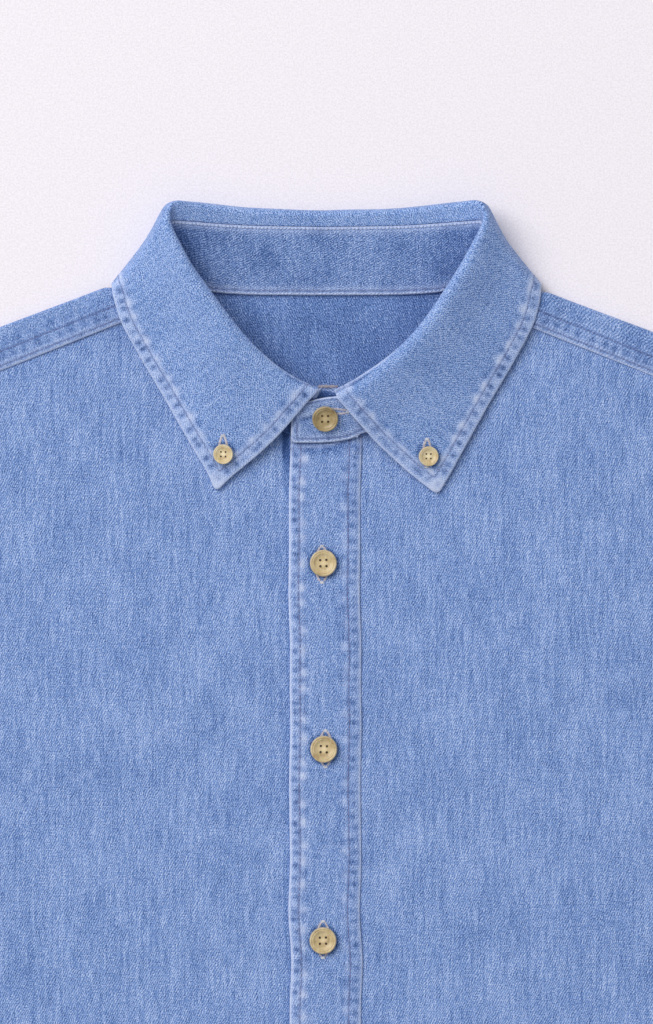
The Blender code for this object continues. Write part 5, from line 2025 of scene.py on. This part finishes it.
    def _placket(self) -> None:
        """The strip over the slit above the cuff, with a pointed top."""
        width, length = self.strip
        run = math.dist(CUT.shoulder, CUT.cuff_outer)
        across = graded(width, 1.4, first=4.0, last=4.0, fine=0.8) - 0.5
        part = 0.004 + 0.996 * graded(length, 2.0, first=0.0, last=6.0, fine=1.0)
        s, p = np.meshgrid(across, part, indexing="ij")
        along = 1 - p * (length + self.point * (1 - 2 * np.abs(s))) / run
        share = self.cuff_end + 0.1 + s * width / self.cuff_width * (1 - 0.12 * p)
        flat = self.place(along, share)
        x = flat[..., 0] * self.side
        z = self.level(x, flat[..., 1], along, share) + CUT.wall + 2 * CUT.laid
        middle = np.stack([x + self.gap * self.side, flat[..., 1], z], axis=-1)
        grain = np.stack([s * width, p * length], axis=-1)
        if self.side < 0:
            middle, grain = middle[::-1], grain[::-1]
        cloth = Cloth(f"sleeve_placket_{self.name}", middle.copy(), CUT.wall / 2, grain.copy(), Cloths.BANDS,
                      "denim_bands")
        edge = np.concatenate([middle[0], middle[1:-1, -1], middle[-1][::-1]])
        cloth.droop(edge, 0.6, 2.4)
        cloth.sew(edge, SeamWear(self.strip_row, seed=95, rim=0.7, ground=0.4, hollow=0.1))
        thread = Seams(Stitches(seed=16), [(edge, self.strip_row)])
        finish(cloth, (0.026, 0.134), 0.0024, [f"sleeve_{self.name}"], thread)


# ---------------------------------------------------------------- buttons


@dataclass(frozen=True)
class Seat:
    """A solid button's place: the middle of its underside, its axis, radius and thickness."""

    middle: Vector
    up: Vector
    radius: float
    thickness: float

    @staticmethod
    def of(node: str) -> "Seat":
        """Reads a seat from a solid button."""
        solid = next(o for o in bpy.data.objects if o.get("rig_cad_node") == node or o.name == node)
        points = np.array([v.co for v in solid.data.vertices])
        centre = (points.max(axis=0) + points.min(axis=0)) / 2
        _, _, axes = np.linalg.svd(points - points.mean(axis=0), full_matrices=False)
        up = axes[2] * np.sign(axes[2][2])
        heights = (points - centre) @ up
        flat = (points - centre) - np.outer(heights, up)
        return Seat(Vector(centre + up * heights.min()), Vector(up), float(np.linalg.norm(flat, axis=1).max()),
                    float(heights.max() - heights.min()))

    def matrix(self) -> Matrix:
        """Takes a button lying at the origin to its seat."""
        across = (Vector((1, 0, 0)) - self.up * self.up.x).normalized()
        turn = Matrix((across, self.up.cross(across), self.up)).transposed().to_4x4()
        return Matrix.Translation(self.middle) @ turn


class ButtonStyle(Enum):
    """How a button is turned: (share of the radius, share of the thickness) from the middle out and under."""

    DISHED = (
        (0.0, 0.60), (0.30, 0.60), (0.46, 0.61), (0.58, 0.66), (0.66, 0.78), (0.72, 0.88), (0.765, 0.915),
        (0.80, 0.875), (0.835, 0.93), (0.88, 0.985), (0.925, 0.985), (0.965, 0.9), (0.99, 0.74), (1.0, 0.56),
        (0.985, 0.38), (0.92, 0.18), (0.8, 0.04), (0.7, 0.0), (0.0, 0.0),
    )


@dataclass
class Buttons:
    """All the buttons and the thread that holds them."""

    sides: int = 44
    hole_share: float = 0.095
    hole_spacing: float = 0.225
    shank_share: float = 0.36
    grow: float = 1.027
    body: HornFinish = HornFinish("horn")
    olive: HornFinish = HornFinish("olive horn", (0.20, 0.14, 0.062), (0.37, 0.275, 0.125), (0.50, 0.39, 0.21))
    cream: HornFinish = HornFinish("cream horn", (0.42, 0.30, 0.15), (0.66, 0.52, 0.29), (0.82, 0.71, 0.47))

    def build(self) -> None:
        """Builds every button over its solid."""
        names = [f"button_{place}" for place in (*BUTTON_PLACES, "cuff_left", "cuff_right")]
        seats = [self._moved(name, Seat.of(name)) for name in names]
        for i, (name, seat) in enumerate(zip(names, seats)):
            self._button(name, seat, i)
        self._shanks(seats)

    def _moved(self, name: str, seat: Seat) -> Seat:
        """The seat where the button came to lie, a touch larger."""
        place = BUTTON_PLACES.get(name.removeprefix("button_"))
        middle = seat.middle.copy()
        if place:
            middle.xy = placed((*place, 0))[:2]
        return Seat(middle, seat.up, seat.radius * self.grow, seat.thickness)

    @staticmethod
    def _shanks(seats: Sequence[Seat]) -> None:
        """The thread under each button, seen through its holes, coloured near black to paint the shade in them."""
        shape = bmesh.new()
        for seat in seats:
            radius, depth = seat.radius * Buttons.shank_share, seat.thickness * 0.55
            made = bmesh.ops.create_cone(shape, cap_ends=True, segments=12, radius1=radius, radius2=radius,
                                         depth=depth)
            lift = Matrix.Translation((0, 0, depth / 2 - 0.3 * MM))
            bmesh.ops.transform(shape, matrix=seat.matrix() @ lift, verts=made["verts"])
        mesh = mesh_of("thread_shanks", shape)
        mesh.materials.append(WARDROBE.of(Threads.SHADED_SHANK))
        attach(make_object("thread_shanks", mesh), "root")

    def _profile(self, seat: Seat) -> bmesh.types.BMesh:
        """The turned body without its holes."""
        rows = [(r * seat.radius, h * seat.thickness) for r, h in ButtonStyle.DISHED.value]
        shape = bmesh.new()
        rings = []
        for radius, height in rows:
            if radius == 0:
                rings.append([shape.verts.new((0, 0, height))])
                continue
            turns = [2 * math.pi * k / self.sides for k in range(self.sides)]
            rings.append([shape.verts.new((radius * math.cos(t), radius * math.sin(t), height)) for t in turns])
        for upper, lower in zip(rings, rings[1:]):
            for k in range(self.sides):
                n = (k + 1) % self.sides
                if len(upper) == 1:
                    shape.faces.new((upper[0], lower[k], lower[n]))
                elif len(lower) == 1:
                    shape.faces.new((upper[n], upper[k], lower[0]))
                else:
                    shape.faces.new((upper[k], lower[k], lower[n], upper[n]))
        return shape

    def _holes(self, seat: Seat) -> bpy.types.Object:
        """Four cutters for the thread holes."""
        shape = bmesh.new()
        for x in (-1, 1):
            for y in (-1, 1):
                radius = self.hole_share * seat.radius
                made = bmesh.ops.create_cone(shape, cap_ends=True, segments=14, radius1=radius, radius2=radius,
                                             depth=4 * seat.thickness)
                shift = (x * self.hole_spacing * seat.radius, y * self.hole_spacing * seat.radius, 0)
                bmesh.ops.translate(shape, verts=made["verts"], vec=shift)
        return make_object("holes", mesh_of("holes", shape))

    def _button(self, name: str, seat: Seat, number: int) -> None:
        """One button, with its thread."""
        piece, cutter = make_object(name + "_horn", mesh_of(name, self._profile(seat))), self._holes(seat)
        cut = piece.modifiers.new("holes", "BOOLEAN")
        cut.object, cut.operation, cut.solver = cutter, "DIFFERENCE", "EXACT"
        final = evaluated(piece)
        bpy.data.objects.remove(cutter)
        shares = [math.hypot(v.co.x, v.co.y) / seat.radius for v in final.vertices]
        kept = final.attributes.new("share", "FLOAT", "POINT")
        kept.data.foreach_set("value", shares)
        spin = Matrix.Rotation(0.04 * math.sin(number * 2.3), 4, "Z")
        final.transform(seat.matrix() @ spin)
        final.materials.clear()
        # The stand's button is given a darker horn and the collar's buttons a paler one.
        horn = self.olive if name == "button_stand" else self.cream if "collar" in name else self.body
        final.materials.append(WARDROBE.of(horn))
        final.shade_smooth()
        final.set_sharp_from_angle(angle=math.radians(50))
        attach(piece, "root")
        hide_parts(name)
        LOG.info("%s: %d faces", name, len(final.polygons))


# ---------------------------------------------------------------- buttonholes


@dataclass
class Buttonhole:
    """A worked buttonhole, pulled open a little by its button."""

    middle: Array
    run: Array
    up: Array
    length: float = 19.6
    start: float = 1.1
    open: float = 2.4

    def rows(self, cloth: Cloth) -> tuple[Row, Row]:
        """Stitches of the two sides, and of the bars at the ends."""
        up = unit(self.up)
        run = unit(self.run - up * (self.run @ up))
        side = unit(np.cross(up, run))
        half = self.length / 2 - 1.0
        steps = np.arange(-half, half + 0.01, 0.42)
        swell = self.open * (1 - (steps / half) ** 2)
        line = self.middle + steps[:, None] * run
        legs = [line + (sign * (self.start + swell))[:, None] * side for sign in (-1, 1)]
        bar = np.array([end * (half + 0.3 + 0.32 * k) for end in (-1, 1) for k in range(4)])
        bars = self.middle + bar[:, None] * run
        return self._sewn(cloth, np.concatenate(legs), side), self._sewn(cloth, bars, side)

    @staticmethod
    def _sewn(cloth: Cloth, points: Array, side: Array) -> Row:
        """Lays stitches that run across the slit on the cloth.

        Args:
            cloth: The cloth.
            points: Roughly where they go.
            side: The way they run.

        Returns:
            The row.
        """
        top, normals = cloth.seen()
        nearby = np.nonzero(np.linalg.norm(top - points.mean(axis=0), axis=1) < 20)[0]
        hits = [nearby[np.argmin(np.linalg.norm(top[nearby] - p, axis=1))] for p in points]
        ups = normals[hits]
        settled = points - ups * (((points - top[hits]) * ups).sum(axis=1, keepdims=True) - 0.05)
        return Row(settled, np.repeat(side[None], len(points), axis=0), ups)


@dataclass
class Buttonholes:
    """Every visible buttonhole."""

    def build(self, placket: Cloth, leaf: Cloth, stand: Cloth) -> None:
        """Works the buttonholes.

        Args:
            placket: The placket's cloth.
            leaf: The collar leaf's.
            stand: The stand's.
        """
        down, across = np.array((0.0, -1.0, 0.0)), np.array((1.0, -0.05, 0.0))
        small = {"length": 14.4, "start": 0.8, "open": 1.2}
        # Each hole's button, its cloth, how far it lies from the button, which way it runs, and its measures.
        holes = [(str(i), placket, (0.1, 0.2), down, {"length": 18.6}) for i in range(1, 7)]
        holes += [("collar_left", leaf, (0.0, 0.6), down, small), ("collar_right", leaf, (0.0, 1.2), down, small),
                  ("stand", stand, (3.4, 2.4), across, {"length": 15.4, "start": 0.7, "open": 0.55})]
        worked = []
        for name, cloth, shift, run, sizes in holes:
            x, y = BUTTON_PLACES[name]
            point, up = self._spot(cloth, x + shift[0], y + shift[1])
            worked.append(Buttonhole(point, run, up, **sizes).rows(cloth))
        kind = Stitches(Threads.HOLE, length=1.5, width=0.58, height=0.3, unevenness=0.2, seed=17)
        kind.sew("thread_buttonholes", Row.together([rows[0] for rows in worked]))
        bars = Stitches(Threads.PALE, length=2.7, width=0.46, height=0.5, unevenness=0.1, seed=18)
        bars.sew("thread_bartacks", Row.together([rows[1] for rows in worked]))
        edge = Stitches(Threads.FRAYED, length=2.0, width=0.45, height=0.5, unevenness=0.3, seed=19)
        edge.sew("thread_stand_edge", self._frayed(stand))

    @staticmethod
    def _frayed(stand: Cloth) -> Row:
        """Stitches over the top edge of the stand's under end, where it shows above the lapped one."""
        x, y = stand.middle[:, -1, 0], stand.middle[:, -1, 1]
        first = np.arange(len(x)) < len(x) // 2
        shown = stand.middle[first & (np.abs(x - 1.5) < 5.0) & (y < -40), -1]
        count = 24
        spots = np.linspace((-3.6, -49.3, 0), (5.7, -49.3, 0), count)
        spots[:, 2] = shown[:, 2].max() + 0.6
        run = unit(np.array((0.25, 1.0, 0.2)))
        return Row(spots, np.repeat(run[None], count, axis=0), np.repeat([[0.0, 0.0, 1.0]], count, axis=0))

    @staticmethod
    def _spot(cloth: Cloth, x: float, y: float) -> tuple[Array, Array]:
        """The outer face's point and normal over a place."""
        top, normals = cloth.seen()
        away = np.hypot(top[:, 0] - x, top[:, 1] - y) + np.where(normals[:, 2] < 0.2, 99, 0)
        i = int(np.argmax(np.where(away < max(1.2, away.min() + 0.1), top[:, 2], -99)))
        return top[i] + normals[i] * 0.02, normals[i]


# ---------------------------------------------------------------- studio


@dataclass
class Studio:
    """A pale floor, a soft lamp from the upper left, an even fill, and the camera above."""

    centre: tuple[float, float] = (0.25, -112.0)
    view_height: float = 512.0
    distance: float = 2.0
    level: float = 8.0
    lamp_place: tuple[float, float, float] = (-2.7, 2.2, 4.1)
    lamp_size: float = 3.8
    lamp_power: float = 237.0
    fill: float = 0.44
    floor_reach: float = 4.0
    floor_drop: float = 0.0001
    clip_end: float = 50.0

    def build(self) -> None:
        """Builds the studio."""
        self._floor()
        self._lights()
        self._camera()
        bpy.context.scene.view_settings.view_transform = "Standard"

    def _floor(self) -> None:
        """The surface that the shirt lies on."""
        mesh = bpy.data.meshes.new("floor")
        corners = ((-1, -1), (1, -1), (1, 1), (-1, 1))
        points = [(x * self.floor_reach, y * self.floor_reach, -self.floor_drop) for x, y in corners]
        mesh.from_pydata(points, [], [(0, 1, 2, 3)])
        mesh.materials.append(WARDROBE.of(FloorFinish("floor")))
        make_object("floor", mesh)

    def _lights(self) -> None:
        """The soft lamp and the even fill."""
        target = Vector((0, ORIGIN.y - 0.1, 0))
        lamp = bpy.data.lights.new("soft lamp", "AREA")
        lamp.shape = "SQUARE"
        lamp.size = self.lamp_size
        lamp.energy = self.lamp_power
        lamp.color = (1.0, 0.98, 0.975)
        holder = bpy.data.objects.new("soft lamp", lamp)
        holder.location = target + Vector(self.lamp_place)
        holder.rotation_euler = (target - holder.location).to_track_quat("-Z", "Y").to_euler()
        bpy.context.scene.collection.objects.link(holder)
        world = bpy.data.worlds.new("fill")
        world.use_nodes = True
        background = world.node_tree.nodes["Background"]
        background.inputs["Color"].default_value = (0.94, 0.98, 1.04, 1)
        background.inputs["Strength"].default_value = self.fill
        bpy.context.scene.world = world

    def _camera(self) -> None:
        """The camera, square above the collar and the upper placket."""
        data = bpy.data.cameras.new("camera")
        data.lens = data.sensor_width * self.distance / (self.view_height * MM)
        data.clip_end = self.clip_end
        camera = bpy.data.objects.new("camera", data)
        x, y = self.centre
        camera.location = placed((x, y, self.level)) + np.array((0, 0, self.distance))
        bpy.context.scene.collection.objects.link(camera)
        bpy.context.scene.camera = camera


def main() -> None:
    """Builds the shirt and its studio."""
    logging.basicConfig(level=logging.INFO, format="%(message)s")
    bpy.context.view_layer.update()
    Studio().build()
    Back().build()
    Fronts().build()
    Yoke().build()
    placket = Placket().build()
    leaf, stand = Collar().build()
    for side in (1, -1):
        Sleeve(side).build()
    Buttons().build()
    Buttonholes().build(placket, leaf, stand)
    bpy.context.view_layer.update()


if __name__ == "__main__":
    main()
